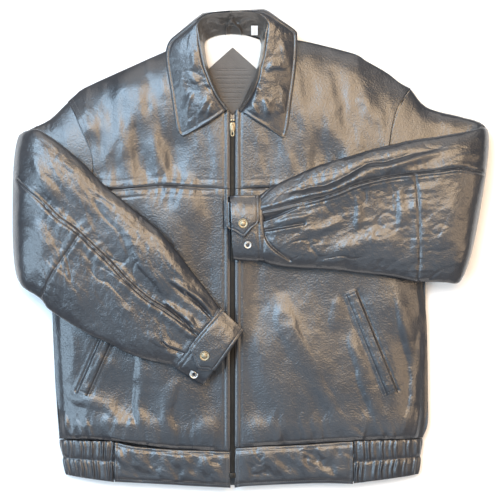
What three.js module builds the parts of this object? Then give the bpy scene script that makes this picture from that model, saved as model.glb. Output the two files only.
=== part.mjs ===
// A hip-length leather jacket with a front zip, a fold-down collar, a gathered waistband and snap cuffs.
// It lies on its back on a table with both sleeves folded across the front.
// Millimetres. +X is the wearer's left, +Y runs from the hem to the collar and +Z is up from the table.

import * as THREE from 'three';

// Driving sizes
const bodyWidthScale = 1;        // widens or narrows the whole plan
const bodyLengthScale = 1;       // lengthens or shortens the whole plan
const leather = 2.2;             // thickness of a leather panel with its backing
const liningThickness = 1.2;
const gap = 0.4;                 // clearance kept between neighbouring pieces
const frontHeight = 30;          // top of the front leather along the zip
const sideSeamHeight = 12.8;     // level at which front and back leather meet
const armholeFrontHeight = 27;   // front leather at the middle of the armhole
const armholeBackHeight = 2.5;   // back leather at the middle of the armhole
const liningDepth = 7;           // from the front leather's top down to the lining
const pocketBagDepth = 2.8;
const pocketBagThickness = 1.8;
const sleeveHalfThickness = 12.5;
const cuffHalfThickness = 9.5;
const sleeveFloorClearance = 3.5;  // under the sleeve layer that comes out of the armhole
const sleeveFrontClearance = 7.5;  // between the front leather and the sleeve folded over it
const cuffFrontClearance = 8.5;    // leaves room for the zip slider and its pull
const zipX = -30;                // the zip runs along this line
const zipOpening = 14;           // between the two leather front edges
const zipTop = 196;
const zipBottom = -344;
const tapeWidth = 14;
const tapeThickness = 0.9;
const teethWidth = 3.4;
const teethHeight = 2.4;
const sliderLength = 15;
const sliderWall = 1.4;
const pullLength = 24;
const pullWidth = 6.4;
const collarRise = 17;           // top of the roll line above the front leather
const collarDrop = 10;           // from the roll line down to the outer edge
const collarThickness = 4.6;     // top collar and under collar together
const weltThickness = 1.6;
const weltClearance = 0.9;       // over the front leather, whose face bends a little under the strip
const weltWidth = 22;
const snapRadius = 7.5;
const snapHeight = 2.6;
const tabThickness = 2.4;

// Levels that follow from the sizes above
const lowerSleeveLevel = sleeveFloorClearance + sleeveHalfThickness;
const upperSleeveLevel = frontHeight + sleeveFrontClearance + sleeveHalfThickness;
const cuffLevel = frontHeight + cuffFrontClearance + cuffHalfThickness;
const collarRollHeight = frontHeight + collarRise;
const collarEdgeHeight = collarRollHeight - collarDrop;

// Colours
const blackLeather = { color: 0x3a3b40, roughness: 0.42, metalness: 0 };
const satin = { color: 0xd9d4c8, roughness: 0.6, metalness: 0 };
const greyLeather = { color: 0x5c5450, roughness: 0.6, metalness: 0 };
const tapeCloth = { color: 0x1c1c1e, roughness: 0.9, metalness: 0 };
const brass = { color: 0xa98a4a, roughness: 0.35, metalness: 1 };
const steel = { color: 0xb9b9b6, roughness: 0.3, metalness: 1 };
const labelCloth = { color: 0xf0eeea, roughness: 0.8, metalness: 0 };

const group = new THREE.Group();

function addMesh(name, geometry, look) {
  const mesh = new THREE.Mesh(geometry, new THREE.MeshStandardMaterial(look));
  mesh.name = name;
  group.add(mesh);
}

// Small helpers for plan curves. A curve is a list of [x, y] points.
// The plan widens and narrows about the zip, which keeps its own size.
function scaled(curve) {
  return curve.map(([x, y]) => [zipX + (x - zipX) * bodyWidthScale, y * bodyLengthScale]);
}

function alongCurve(curve, t) {
  const lengths = [0];
  for (let i = 1; i < curve.length; i += 1) {
    const dx = curve[i][0] - curve[i - 1][0];
    const dy = curve[i][1] - curve[i - 1][1];
    lengths.push(lengths[i - 1] + Math.hypot(dx, dy));
  }
  const target = t * lengths[lengths.length - 1];
  let i = 1;
  while (i < curve.length - 1 && lengths[i] < target) i += 1;
  const k = (target - lengths[i - 1]) / (lengths[i] - lengths[i - 1]);
  return mix(curve[i - 1], curve[i], k);
}

function mix(a, b, k) {
  return a.map((value, i) => value + (b[i] - value) * k);
}

// A closed body from two grids of points, rows by columns, the upper one over the lower one.
// The edges of the grids are joined by walls. A closed strip joins its last column to its first.
function slab(upper, lower, closed = false) {
  const rows = upper.length;
  const columns = upper[0].length;
  const positions = [...upper, ...lower].flat().flat();
  const at = (layer, row, column) => (layer * rows + row) * columns + (column % columns);
  const index = [];
  const quad = (a, b, c, d) => index.push(a, b, c, a, c, d);
  const lastColumn = closed ? columns : columns - 1;
  for (let r = 0; r < rows - 1; r += 1) {
    for (let c = 0; c < lastColumn; c += 1) {
      quad(at(0, r, c), at(0, r, c + 1), at(0, r + 1, c + 1), at(0, r + 1, c));
      quad(at(1, r, c), at(1, r + 1, c), at(1, r + 1, c + 1), at(1, r, c + 1));
    }
  }
  for (let c = 0; c < lastColumn; c += 1) {
    quad(at(0, 0, c), at(1, 0, c), at(1, 0, c + 1), at(0, 0, c + 1));
    quad(at(0, rows - 1, c), at(0, rows - 1, c + 1), at(1, rows - 1, c + 1), at(1, rows - 1, c));
  }
  if (!closed) {
    for (let r = 0; r < rows - 1; r += 1) {
      quad(at(0, r, 0), at(0, r + 1, 0), at(1, r + 1, 0), at(1, r, 0));
      quad(at(0, r, columns - 1), at(1, r, columns - 1), at(1, r + 1, columns - 1), at(0, r + 1, columns - 1));
    }
  }
  const geometry = new THREE.BufferGeometry();
  geometry.setAttribute('position', new THREE.Float32BufferAttribute(positions, 3));
  geometry.setIndex(index);
  facingOut(geometry);
  geometry.computeVertexNormals();
  return geometry;
}

// Reverses the triangles of a closed body whose signed volume comes out negative.
function facingOut(geometry) {
  const p = geometry.attributes.position;
  const index = geometry.index;
  const a = new THREE.Vector3();
  const b = new THREE.Vector3();
  const c = new THREE.Vector3();
  let volume = 0;
  for (let i = 0; i < index.count; i += 3) {
    a.fromBufferAttribute(p, index.getX(i));
    b.fromBufferAttribute(p, index.getX(i + 1));
    c.fromBufferAttribute(p, index.getX(i + 2));
    volume += a.dot(b.cross(c));
  }
  if (volume > 0) return;
  for (let i = 0; i < index.count; i += 3) {
    const kept = index.getX(i + 1);
    index.setX(i + 1, index.getX(i + 2));
    index.setX(i + 2, kept);
  }
}

// Pulls the border of a grid in by half the clearance, along the grid's own lines.
function pulledIn(grid, closed = false) {
  const rows = grid.length;
  const columns = grid[0].length;
  const out = grid.map((row) => row.map((point) => [...point]));
  const pull = (r, c, toRow, toColumn) => {
    const from = grid[r][c];
    const to = grid[toRow][toColumn];
    const length = Math.hypot(to[0] - from[0], to[1] - from[1], to[2] - from[2]);
    for (let i = 0; i < 3; i += 1) out[r][c][i] += ((to[i] - from[i]) / length) * gap * 0.6;
  };
  for (let c = 0; c < columns; c += 1) {
    pull(0, c, 1, c);
    pull(rows - 1, c, rows - 2, c);
  }
  if (!closed) {
    for (let r = 0; r < rows; r += 1) {
      pull(r, 0, r, 1);
      pull(r, columns - 1, r, columns - 2);
    }
  }
  return out;
}

function block(x0, x1, y0, y1, z0, z1) {
  const geometry = new THREE.BoxGeometry(x1 - x0, y1 - y0, z1 - z0);
  geometry.translate((x0 + x1) / 2, (y0 + y1) / 2, (z0 + z1) / 2);
  return geometry;
}

// Torso. Each half of the front is a grid: rows from the hem up, columns from the side to the zip.
// Every layer of the torso uses the same grid at another depth, so layers keep their spacing.
const columnSteps = [0, 0.06, 0.2, 0.36, 0.68, 1];

function torsoRow(curve, z) {
  return columnSteps.map((t, c) => [...alongCurve(curve, t), z[c]]);
}

// Height of the outer face of the front leather over a row that starts at the given edge height.
function frontProfile(edge) {
  return columnSteps.map((t) => edge + (frontHeight - edge) * (1 - (1 - t) ** 5));
}

const frontEdge = sideSeamHeight + gap + leather;
const zipEdge = { right: zipX - zipOpening / 2, left: zipX + zipOpening / 2 };

function frontGrid(side) {
  const inner = zipX + (zipEdge[side] - zipX) / bodyWidthScale;
  const plan = side === 'right'
    ? [
      [[-280, -342], [-210, -350], [inner, -358]],
      [[-292, -287], [-210, -290], [inner, -302]],
      [[-298, -215], [inner, -215]],
      [[-301, -140], [inner, -140]],
      [[-300, -60], [inner, -60]],
      [[-294, 14], [inner, 14]],
      [[-237, 92], [inner, 91]],
      [[-250, 162], [-140, 165], [inner, 150]],
      [[-278, 221], [-252, 243], [-130, 297], [-94, 312], [-72, 262], [-46, 216], [inner, 207]],
    ]
    : [
      [[250, -337], [200, -350], [inner, -358]],
      [[257, -286], [160, -288], [inner, -302]],
      [[264, -215], [inner, -215]],
      [[264, -140], [inner, -140]],
      [[258, -60], [inner, -60]],
      [[258, 26], [inner, 14]],
      [[204, 92], [inner, 91]],
      [[211, 170], [100, 172], [inner, 150]],
      [[238, 241], [203, 266], [149, 295], [34, 315], [14, 262], [-8, 218], [inner, 207]],
    ];
  const edges = [frontEdge, frontEdge, frontEdge, frontEdge, frontEdge, frontEdge + 2];
  edges.push(armholeFrontHeight, armholeFrontHeight);
  const grid = edges.map((edge, r) => torsoRow(scaled(plan[r]), frontProfile(edge)));
  const top = [frontEdge, frontEdge, frontEdge, frontEdge + 1, frontHeight - 6, frontHeight];
  grid.push(torsoRow(scaled(plan[8]), top));
  return grid;
}

function lowered(grid, depth) {
  return grid.map((row) => row.map(([x, y, z]) => [x, y, z - depth]));
}

function sheet(grid, depth, thickness) {
  return slab(lowered(grid, depth), lowered(grid, depth + thickness));
}

// Part of a grid, rows and columns given from and to, both included.
function part(grid, rowFrom, rowTo, columnFrom, columnTo) {
  return grid.slice(rowFrom, rowTo + 1).map((row) => row.slice(columnFrom, columnTo + 1));
}

const fronts = { right: frontGrid('right'), left: frontGrid('left') };

function addFront(side) {
  const grid = fronts[side];
  addMesh(`${side}_front_panel`, sheet(pulledIn(part(grid, 1, 6, 0, 5)), 0, leather), blackLeather);
  addMesh(`${side}_front_yoke`, sheet(pulledIn(part(grid, 6, 8, 0, 5)), 0, leather), blackLeather);
  addMesh(`${side}_waistband_front`, sheet(pulledIn(part(grid, 0, 1, 3, 5)), 0, leather), blackLeather);
  addMesh(`${side}_front_lining`, frontLining(grid), satin);
  const bagGrid = pulledIn(part(grid, 1, 4, 2, 4));
  addMesh(`${side}_pocket_bag`, sheet(bagGrid, pocketBagDepth, pocketBagThickness), satin);
}

// The lining hangs free of the leather and stops short of the shoulder and neck seams,
// where front and back come together.
function frontLining(grid) {
  const body = part(grid, 0, 7, 1, 5);
  const last = body[7].map((point, c) => mix(point, grid[8][c + 1], 0.75));
  const hung = lowered(body, liningDepth);
  const depths = [0, 0, 0, 0.5, 1].map((t) => pocketBagDepth + (liningDepth - pocketBagDepth) * t);
  hung.push(last.map(([x, y, z], c) => [x, y, z - depths[c]]));
  return sheet(pulledIn(hung), 0, liningThickness);
}

// Top of the front leather below the armhole, at a distance across from the side seam to the zip.
function frontHeightAt(side, x) {
  const outer = scaled([[side === 'right' ? -300 : 263, 0]])[0][0];
  const t = Math.min(1, Math.max(0, (x - outer) / (zipEdge[side] - outer)));
  const profile = frontProfile(frontEdge);
  let c = 1;
  while (c < columnSteps.length - 1 && columnSteps[c] < t) c += 1;
  const k = (t - columnSteps[c - 1]) / (columnSteps[c] - columnSteps[c - 1]);
  return profile[c - 1] + (profile[c] - profile[c - 1]) * k;
}

// A flat strip on the front panel over the slanting pocket mouth.
function addWelt(side, from, to) {
  const [a, b] = scaled([from, to]);
  const length = Math.hypot(b[0] - a[0], b[1] - a[1]);
  const across = [-(b[1] - a[1]) / length, (b[0] - a[0]) / length];
  const steps = 10;
  const grid = Array.from({ length: steps + 1 }, (_, i) => {
    const [x, y] = mix(a, b, i / steps);
    return [-0.5, 0, 0.5].map((s) => {
      const px = x + across[0] * weltWidth * s;
      const py = y + across[1] * weltWidth * s;
      return [px, py, frontHeightAt(side, px) + weltClearance + weltThickness];
    });
  });
  addMesh(`${side}_pocket_welt`, sheet(grid, 0, weltThickness), blackLeather);
}

// Back. One grid from side to side, its edges on the same plan lines as the fronts.
function backGrid() {
  const right = fronts.right;
  const left = fronts.left;
  const neck = scaled([[-94, 312], [-30, 325], [34, 315]]);
  return right.map((row, r) => {
    const atTop = r === right.length - 1;
    const atArmhole = r === 6 || r === 7;
    const edge = atArmhole ? armholeBackHeight : sideSeamHeight - leather;
    const start = row.slice(0, 3);
    const end = left[r].slice(0, 3).reverse();
    const middle = atTop
      ? [right[r][3], neck[1], left[r][3]]
      : [0.25, 0.5, 0.75].map((t) => mix(start[2], end[0], t));
    const profile = atTop
      ? Array(9).fill(sideSeamHeight - leather)
      : [edge, edge * 0.35, 0, 0, 0, 0, 0, edge * 0.35, edge];
    return [...start, ...middle, ...end].map(([x, y], c) => [x, y, profile[c]]);
  });
}

// A grid whose last row is drawn back towards the row before it.
function shortened(grid, reach) {
  const last = grid.length - 1;
  const row = grid[last].map((point, c) => mix(grid[last - 1][c], point, reach));
  return [...grid.slice(0, last), row];
}

const back = backGrid();

function addBack() {
  const raised = (grid, lift, thickness) => slab(lowered(grid, -lift - thickness), lowered(grid, -lift));
  addMesh('back_panel', raised(pulledIn(part(back, 1, 6, 0, 8)), 0, leather), blackLeather);
  addMesh('back_yoke', raised(pulledIn(part(back, 6, 8, 0, 8)), 0, leather), blackLeather);
  addMesh('waistband_back', raised(pulledIn(part(back, 0, 1, 2, 6)), 0, leather), blackLeather);
  const liningGrid = pulledIn(shortened(part(back, 0, 8, 1, 7), 0.88));
  addMesh('back_lining', raised(liningGrid, leather + gap, liningThickness), satin);
  // Locker patch, a square set on one corner, sewn to the lining below the neck.
  const base = leather + 2 * gap + liningThickness;
  const corner = [[-30, 304], [28, 253], [-30, 203], [-88, 253]].map(([x, y]) => [x, y]);
  const [top, rightCorner, bottom, leftCorner] = scaled(corner);
  const rows = 4;
  const make = (lift) => Array.from({ length: rows + 1 }, (_, i) => (
    Array.from({ length: rows + 1 }, (_unused, j) => {
      const point = mix(mix(bottom, rightCorner, j / rows), mix(leftCorner, top, j / rows), i / rows);
      return [...point, patchLevel(point[1]) + base + lift];
    })));
  addMesh('locker_patch', slab(make(leather), make(0)), greyLeather);
}

// The back lining climbs from the table to the shoulder level between its last two rows.
function patchLevel(y) {
  const start = 160 * bodyLengthScale;
  const end = 322 * bodyLengthScale;
  const t = Math.max(0, (y - start) / (end - start));
  return (sideSeamHeight - leather) * t + 1.2;
}

// Gathered side of the waistband: one piece that goes round the side seam from front to back.
function addWaistSide(side) {
  const front = fronts[side];
  const columnsBack = side === 'right' ? [0, 1, 2] : [8, 7, 6];
  const ring = (r) => {
    const over = [3, 2, 1].map((c) => front[r][c]);
    const edge = front[r][0];
    const under = columnsBack.slice(1).map((c) => back[r][c]);
    const out = side === 'right' ? -1 : 1;
    const outer = [...over, [edge[0], edge[1], edge[2] - 3], [edge[0], edge[1], edge[2] - 7], ...under];
    const inner = outer.map(([x, y, z], i) => {
      if (i < 3) return [x, y, z - leather];
      if (i > 4) return [x, y, z + leather];
      return [x - out * leather * 2, y, z];
    });
    return { outer, inner };
  };
  const hem = ring(0);
  const seam = ring(1);
  const rows = [0, 0.5, 1];
  const blend = (a, b, t) => a.map((point, i) => mix(point, b[i], t));
  const outer = pulledIn(rows.map((t) => blend(hem.outer, seam.outer, t)));
  const inner = pulledIn(rows.map((t) => blend(hem.inner, seam.inner, t)));
  addMesh(`${side}_waistband_side`, slab(outer, inner), blackLeather);
}

// Zip
const tapeTop = frontHeight - leather - gap;
const teethBase = tapeTop + gap;

function addZip() {
  const top = zipTop * bodyLengthScale;
  const bottom = zipBottom * bodyLengthScale;
  for (const [side, sign] of [['right', -1], ['left', 1]]) {
    const near = zipX + sign * gap * 0.5;
    const far = zipX + sign * tapeWidth;
    const [x0, x1] = [Math.min(near, far), Math.max(near, far)];
    addMesh(`${side}_zip_tape`, block(x0, x1, bottom, top, tapeTop - tapeThickness, tapeTop), tapeCloth);
    const teethFar = zipX + sign * teethWidth;
    const [t0, t1] = [Math.min(near, teethFar), Math.max(near, teethFar)];
    addMesh(`${side}_zip_teeth`, block(t0, t1, bottom + 9, top - 5, teethBase, teethBase + teethHeight), brass);
    addMesh(`${side}_top_stop`, block(t0, t1, top - 4.4, top - 1, teethBase, teethBase + teethHeight), brass);
  }
  const boxHalf = 5.2;
  const boxGeometry = block(zipX - boxHalf, zipX + boxHalf, bottom, bottom + 8.4, teethBase, teethBase + 3);
  addMesh('zip_bottom_box', boxGeometry, brass);
}

// The slider clasps the closed teeth from above: a plate with two side walls.
function addSlider() {
  const half = teethWidth + gap + sliderWall;
  const teethTop = teethBase + teethHeight;
  const shape = new THREE.Shape();
  shape.moveTo(-half, teethBase);
  shape.lineTo(-half, teethTop + gap + sliderWall);
  shape.lineTo(half, teethTop + gap + sliderWall);
  shape.lineTo(half, teethBase);
  shape.lineTo(half - sliderWall, teethBase);
  shape.lineTo(half - sliderWall, teethTop + gap);
  shape.lineTo(-half + sliderWall, teethTop + gap);
  shape.lineTo(-half + sliderWall, teethBase);
  const geometry = new THREE.ExtrudeGeometry(shape, { depth: sliderLength, bevelEnabled: false });
  geometry.rotateX(Math.PI / 2);
  const top = zipTop * bodyLengthScale - 5.5;
  geometry.translate(zipX, top, 0);
  addMesh('zip_slider', geometry, brass);
  const level = teethTop + 2 * gap + sliderWall;
  const start = top - 4;
  const pull = new THREE.Shape();
  pull.moveTo(-pullWidth / 2, -pullLength);
  pull.lineTo(pullWidth / 2, -pullLength);
  pull.lineTo(pullWidth / 2, 0);
  pull.lineTo(-pullWidth / 2, 0);
  pull.closePath();
  const eye = new THREE.Path();
  eye.absarc(0, -pullLength + 4, 1.7, 0, Math.PI * 2, true);
  pull.holes.push(eye);
  const pullGeometry = new THREE.ExtrudeGeometry(pull, { depth: 1.3, bevelEnabled: false, curveSegments: 5 });
  pullGeometry.translate(zipX, start, level);
  addMesh('zip_pull', pullGeometry, brass);
}

function addWindFlap() {
  const level = tapeTop - tapeThickness - gap;
  const top = (zipTop - 4) * bodyLengthScale;
  const bottom = (zipBottom + 2) * bodyLengthScale;
  addMesh('wind_flap', block(zipX - 20, zipX + 17, bottom, top, level - 1.6, level), blackLeather);
}

// Collar. The band stands round the neck and the fall turns down outside it.
const neckLine = {
  right: [[-38, 209], [-56, 236], [-70, 268], [-76, 294], [-80, 318]],
  left: [[-19, 208], [-3, 232], [8, 258], [15, 290], [19, 319]],
};
const leafEdge = {
  right: [[-104, 169], [-115, 186], [-122, 228], [-130, 272], [-129, 300]],
  left: [[46, 166], [54, 186], [60, 222], [65, 264], [67, 312]],
};

function addLeaf(side) {
  const inner = scaled(neckLine[side]);
  const outer = scaled(leafEdge[side]);
  const rows = 6;
  const across = [0, 0.12, 0.5, 1];
  const upper = [];
  for (let r = 0; r <= rows; r += 1) {
    const a = alongCurve(inner, r / rows);
    const b = alongCurve(outer, r / rows);
    upper.push(across.map((t) => {
      const lift = collarRollHeight - (collarRollHeight - collarEdgeHeight) * t ** 1.4;
      return [...mix(a, b, t), lift - 2.5 * (1 - r / rows)];
    }));
  }
  addMesh(`${side}_collar_leaf`, sheet(pulledIn(upper), 0, collarThickness), blackLeather);
}

function addBackFall() {
  const inner = scaled([[-80, 318.8], [-56, 323], [-30, 326], [0, 323], [19, 319.8]]);
  const outer = scaled([[-129, 300.8], [-108, 327], [-70, 354], [-20, 357], [22, 358], [60, 330], [67, 312.8]]);
  const rows = 8;
  const upper = [];
  for (let r = 0; r <= rows; r += 1) {
    const a = alongCurve(inner, r / rows);
    const b = alongCurve(outer, r / rows);
    upper.push([0, 0.2, 0.6, 1].map((t) => [...mix(a, b, t), collarRollHeight - 9 * t ** 1.6]));
  }
  addMesh('collar_back_fall', sheet(pulledIn(upper), 0, collarThickness), blackLeather);
}

// The band: a wall from the neck seam up to just under the roll line.
function addBand() {
  const right = scaled([[-40, 211], [-58, 240], [-74, 276], [-83, 312]]);
  const leftSide = scaled([[23, 312], [12, 276], [-2, 240], [-18, 211]]);
  const backSide = scaled([[-56, 326], [-30, 329], [-2, 326]]);
  const path = [...right, ...backSide, ...leftSide];
  const base = path.map((_point, i) => bandBase(i, path.length));
  const top = collarRollHeight - collarThickness - gap - 3;
  const outer = path.map(([x, y], i) => [[x, y, base[i]], [x, y, (base[i] + top) / 2], [x, y, top]]);
  const centre = [zipX, 262 * bodyLengthScale];
  const inner = outer.map((column) => column.map(([x, y, z]) => {
    const dx = centre[0] - x;
    const dy = (centre[1] - y) * 0.6;
    const length = Math.hypot(dx, dy);
    return [x + (dx / length) * leather, y + (dy / length) * leather, z];
  }));
  addMesh('collar_band', slab(outer, inner), blackLeather);
}

function bandBase(i, count) {
  const t = Math.abs((2 * i) / (count - 1) - 1);
  const base = frontEdge + gap + 1.5;
  return base + (frontHeight - frontEdge) * (1 - (1 - t) ** 2);
}

function addNeckPieces() {
  const y = 320 * bodyLengthScale;
  addMesh('size_label', block(-3, 8, y - 6.5, y - 5.8, 24, 36), labelCloth);
  const loop = new THREE.Shape();
  loop.moveTo(-11, 0);
  loop.lineTo(-11, 10);
  loop.quadraticCurveTo(0, 17, 11, 10);
  loop.lineTo(11, 0);
  loop.lineTo(7.6, 0);
  loop.lineTo(7.6, 8);
  loop.quadraticCurveTo(0, 13, -7.6, 8);
  loop.lineTo(-7.6, 0);
  const geometry = new THREE.ExtrudeGeometry(loop, { depth: 1.6, bevelEnabled: false, curveSegments: 6 });
  geometry.rotateX(Math.PI / 2);
  geometry.translate(-30, y - 4, 20);
  addMesh('hanger_loop', geometry, blackLeather);
}

// Sleeves. A sleeve is a flattened tube. Each station is a line across it, from its upper edge to its
// lower edge, with a level and the direction its outer face looks in. Going round the tube, the first
// half is the outer face and the second half the inner one.
const across = [0, 0.06, 0.22, 0.5, 0.78, 0.94, 1];

function bulge(t) {
  return (1 - Math.abs(2 * t - 1) ** 3.2) ** 0.6;
}

// Points round the tube at one station, for wall depth measured inwards.
function ring(station, depth) {
  const { line, level, tilt, half } = station;
  const normal = [-Math.sin(tilt) * station.fold, 0, -Math.cos(tilt)];
  const curve = scaled(line);
  const outerFace = across.map((t) => tubePoint(curve, t, 1));
  const innerFace = [...across].slice(1, -1).reverse().map((t) => tubePoint(curve, t, -1));
  return [...outerFace, ...innerFace];

  function tubePoint(path, t, face) {
    const shrink = depth / 100;
    const inset = t + (0.5 - t) * 2 * shrink;
    const [x, y] = alongCurve(path, inset);
    const reach = (half - depth) * bulge(t) * face;
    return [x + normal[0] * reach, y, level + normal[2] * reach];
  }
}

// Part of the tube wall between two places on the ring, as one closed sheet.
function tubeSheet(stations, from, to, depth, thickness) {
  const count = 2 * across.length - 2;
  const pick = (station, d) => {
    const points = ring(station, d);
    const out = [];
    for (let i = from; i <= to; i += 1) out.push(points[i % count]);
    return out;
  };
  const outer = pulledIn(stations.map((s) => pick(s, depth)));
  const inner = pulledIn(stations.map((s) => pick(s, depth + thickness)));
  return slab(outer, inner);
}

function tube(stations, depth, thickness) {
  const outer = pulledIn(stations.map((s) => ring(s, depth)), true);
  const inner = pulledIn(stations.map((s) => ring(s, depth + thickness)), true);
  return slab(outer, inner, true);
}

const half = sleeveHalfThickness;
const low = lowerSleeveLevel;
const high = upperSleeveLevel;
const middle = (low + high) / 2;
const reachUp = (high - low) / 2;

// Stations of the folded upper sleeve: out along the table, round the fold and back over the front.
function upperStations(side) {
  const fold = side === 'right' ? 1 : -1;
  const lines = side === 'right'
    ? {
      armhole: [[-279, 222], [-251, 165], [-238, 95], [-296, 13]],
      out: [[-306, 196], [-316, -22]],
      turn: [[-330, 184], [-330, -40]],
      crest: [[-347, 176], [-347, -52]],
      back: [[-330, 176], [-333, -60]],
      level: [[-304, 165], [-323, -69]],
      elbow: [[-213, 92], [-316, -78]],
    }
    : {
      armhole: [[239, 242], [212, 170], [205, 92], [260, 24]],
      out: [[290, 203], [282, 0]],
      turn: [[335, 190], [302, -26]],
      crest: [[350, 182], [312, -50]],
      back: [[337, 178], [300, -52]],
      level: [[314, 174], [289, -51]],
      elbow: [[243, 162], [247, -49]],
    };
  const a = Math.PI / 4;
  return [
    { line: lines.armhole, level: low, tilt: 0, half: half - 1, fold },
    { line: lines.out, level: low, tilt: 0, half, fold },
    { line: lines.turn, level: middle - reachUp * Math.cos(a), tilt: a, half, fold },
    { line: lines.crest, level: middle, tilt: 2 * a, half, fold },
    { line: lines.back, level: middle + reachUp * Math.cos(a), tilt: 3 * a, half, fold },
    { line: lines.level, level: high, tilt: 4 * a, half, fold },
    { line: lines.elbow, level: high, tilt: 4 * a, half, fold },
  ];
}

function forearmStations(side) {
  const fold = side === 'right' ? 1 : -1;
  const lines = side === 'right'
    ? [
      [[-212, 91], [-315, -79]],
      [[-162, 44], [-262, -118]],
      [[-112, -6], [-198, -146]],
      [[-47, -90], [-113, -178]],
    ]
    : [
      [[242, 162], [246, -49]],
      [[165, 143], [168, -37]],
      [[92, 119], [94, -30]],
      [[10, 78], [16, -15]],
    ];
  return lines.map((line, i) => {
    const t = i / (lines.length - 1);
    const level = high + (cuffLevel - high) * t;
    const halfHere = half + (cuffHalfThickness - half) * t;
    return { line, level, tilt: Math.PI, half: halfHere, fold };
  });
}

function cuffStations(side) {
  const fold = side === 'right' ? 1 : -1;
  const lines = side === 'right'
    ? [[[-47, -90.8], [-113, -178.8]], [[-13, -121], [-73, -204]]]
    : [[[9, 78], [15, -15]], [[-38, 77], [-31, -15]]];
  return lines.map((line) => ({ line, level: cuffLevel, tilt: Math.PI, half: cuffHalfThickness, fold }));
}

function addSleeve(side) {
  const upper = upperStations(side);
  const forearm = forearmStations(side);
  const faceEnd = across.length - 1;
  const count = 2 * faceEnd;
  const seam = 2;
  addMesh(`${side}_sleeve_outer`, tubeSheet(upper, 0, faceEnd, 0, leather), blackLeather);
  addMesh(`${side}_sleeve_inner`, tubeSheet(upper, faceEnd, count, 0, leather), blackLeather);
  addMesh(`${side}_sleeve_lining`, tube(upper, leather + gap, liningThickness), satin);
  addMesh(`${side}_forearm_top`, tubeSheet(forearm, 0, seam, 0, leather), blackLeather);
  addMesh(`${side}_forearm_outer`, tubeSheet(forearm, seam, faceEnd, 0, leather), blackLeather);
  addMesh(`${side}_forearm_inner`, tubeSheet(forearm, faceEnd, count, 0, leather), blackLeather);
  addMesh(`${side}_forearm_lining`, tube(forearm, leather + gap, liningThickness), satin);
  addMesh(`${side}_cuff`, tube(cuffStations(side), 0, leather), blackLeather);
}

// Cuff tab: a flat strap over the cuff, hinged at the cuff's upper edge, with a snap near its tip.
const tabs = {
  right: { root: [[-46, -92], [-14, -121]], tip: [[-91, -146], [-66, -178]], snap: [-71, -158], spare: [-66, -188] },
  left: { root: [[-38, 76], [9, 77]], tip: [[-36, 22], [8, 31]], snap: [-14, 38], spare: [-8, 8] },
};

function addTab(side) {
  const { root, tip, snap, spare } = tabs[side];
  const level = cuffLevel + cuffHalfThickness + gap;
  const rootCurve = scaled(root);
  const tipCurve = scaled(tip);
  const upper = [0, 0.35, 0.7, 1].map((t) => (
    [0, 0.5, 1].map((u) => {
      const point = mix(alongCurve(rootCurve, u), alongCurve(tipCurve, u), t);
      return [...point, level + tabThickness];
    })));
  addMesh(`${side}_cuff_tab`, sheet(upper, 0, tabThickness), blackLeather);
  const [sx, sy] = scaled([snap])[0];
  const cap = new THREE.CylinderGeometry(snapRadius * 0.8, snapRadius, snapHeight, 14);
  cap.rotateX(Math.PI / 2);
  cap.translate(sx, sy, level + tabThickness + gap + snapHeight / 2);
  addMesh(`${side}_snap_cap`, cap, brass);
  const [rx, ry] = scaled([spare])[0];
  const profile = [[3, 0], [snapRadius - 0.7, 0], [snapRadius - 1.2, 1.8], [3, 1.8], [3, 0]];
  const spareGeometry = new THREE.LatheGeometry(profile.map(([x, y]) => new THREE.Vector2(x, y)), 12);
  spareGeometry.rotateX(Math.PI / 2);
  spareGeometry.translate(rx, ry, level);
  addMesh(`${side}_spare_snap`, spareGeometry, steel);
}

addBack();
addFront('right');
addFront('left');
addWelt('right', [-256, -216], [-187, -66]);
addWelt('left', [209, -216], [147, -62]);
addWaistSide('right');
addWaistSide('left');
addZip();
addSlider();
addWindFlap();
addLeaf('right');
addLeaf('left');
addBackFall();
addBand();
addNeckPieces();
addSleeve('right');
addSleeve('left');
addTab('right');
addTab('left');

// The part's origin is the middle of its footprint, on the table.
const extent = new THREE.Box3().setFromObject(group);
const footprint = extent.getCenter(new THREE.Vector3());
for (const mesh of group.children) mesh.geometry.translate(-footprint.x, -footprint.y, -extent.min.z);

export default group;
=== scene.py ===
import bmesh
import bpy
import numpy as np
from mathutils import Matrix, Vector
from mathutils.bvhtree import BVHTree


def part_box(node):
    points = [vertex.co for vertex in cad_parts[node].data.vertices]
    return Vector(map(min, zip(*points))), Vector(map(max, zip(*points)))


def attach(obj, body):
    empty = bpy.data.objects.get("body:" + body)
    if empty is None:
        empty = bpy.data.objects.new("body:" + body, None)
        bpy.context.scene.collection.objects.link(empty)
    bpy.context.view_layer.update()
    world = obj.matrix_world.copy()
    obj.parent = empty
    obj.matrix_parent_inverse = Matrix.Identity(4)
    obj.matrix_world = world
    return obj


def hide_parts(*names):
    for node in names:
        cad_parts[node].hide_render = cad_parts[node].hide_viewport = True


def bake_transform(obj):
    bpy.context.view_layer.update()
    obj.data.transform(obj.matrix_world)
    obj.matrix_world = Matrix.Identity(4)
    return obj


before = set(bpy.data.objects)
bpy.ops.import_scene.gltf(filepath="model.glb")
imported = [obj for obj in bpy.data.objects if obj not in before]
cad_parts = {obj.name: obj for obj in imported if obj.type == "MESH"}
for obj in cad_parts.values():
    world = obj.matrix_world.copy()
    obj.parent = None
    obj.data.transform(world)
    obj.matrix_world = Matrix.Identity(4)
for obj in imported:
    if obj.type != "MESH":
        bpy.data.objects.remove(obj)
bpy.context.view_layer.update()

# Plan values are millimetres: x to the wearer's left, y to the collar, z up from the table.
# The closed zip runs along x = -30, and its teeth end at y = 191.
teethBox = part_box("right_zip_teeth")
planShift = np.array([teethBox[1].x * 1000 + 30.2, teethBox[1].y * 1000 - 191.0, 0.0])
zipX = -30.0


def metres(points):
    return (np.asarray(points, float) + planShift) * 0.001


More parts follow.
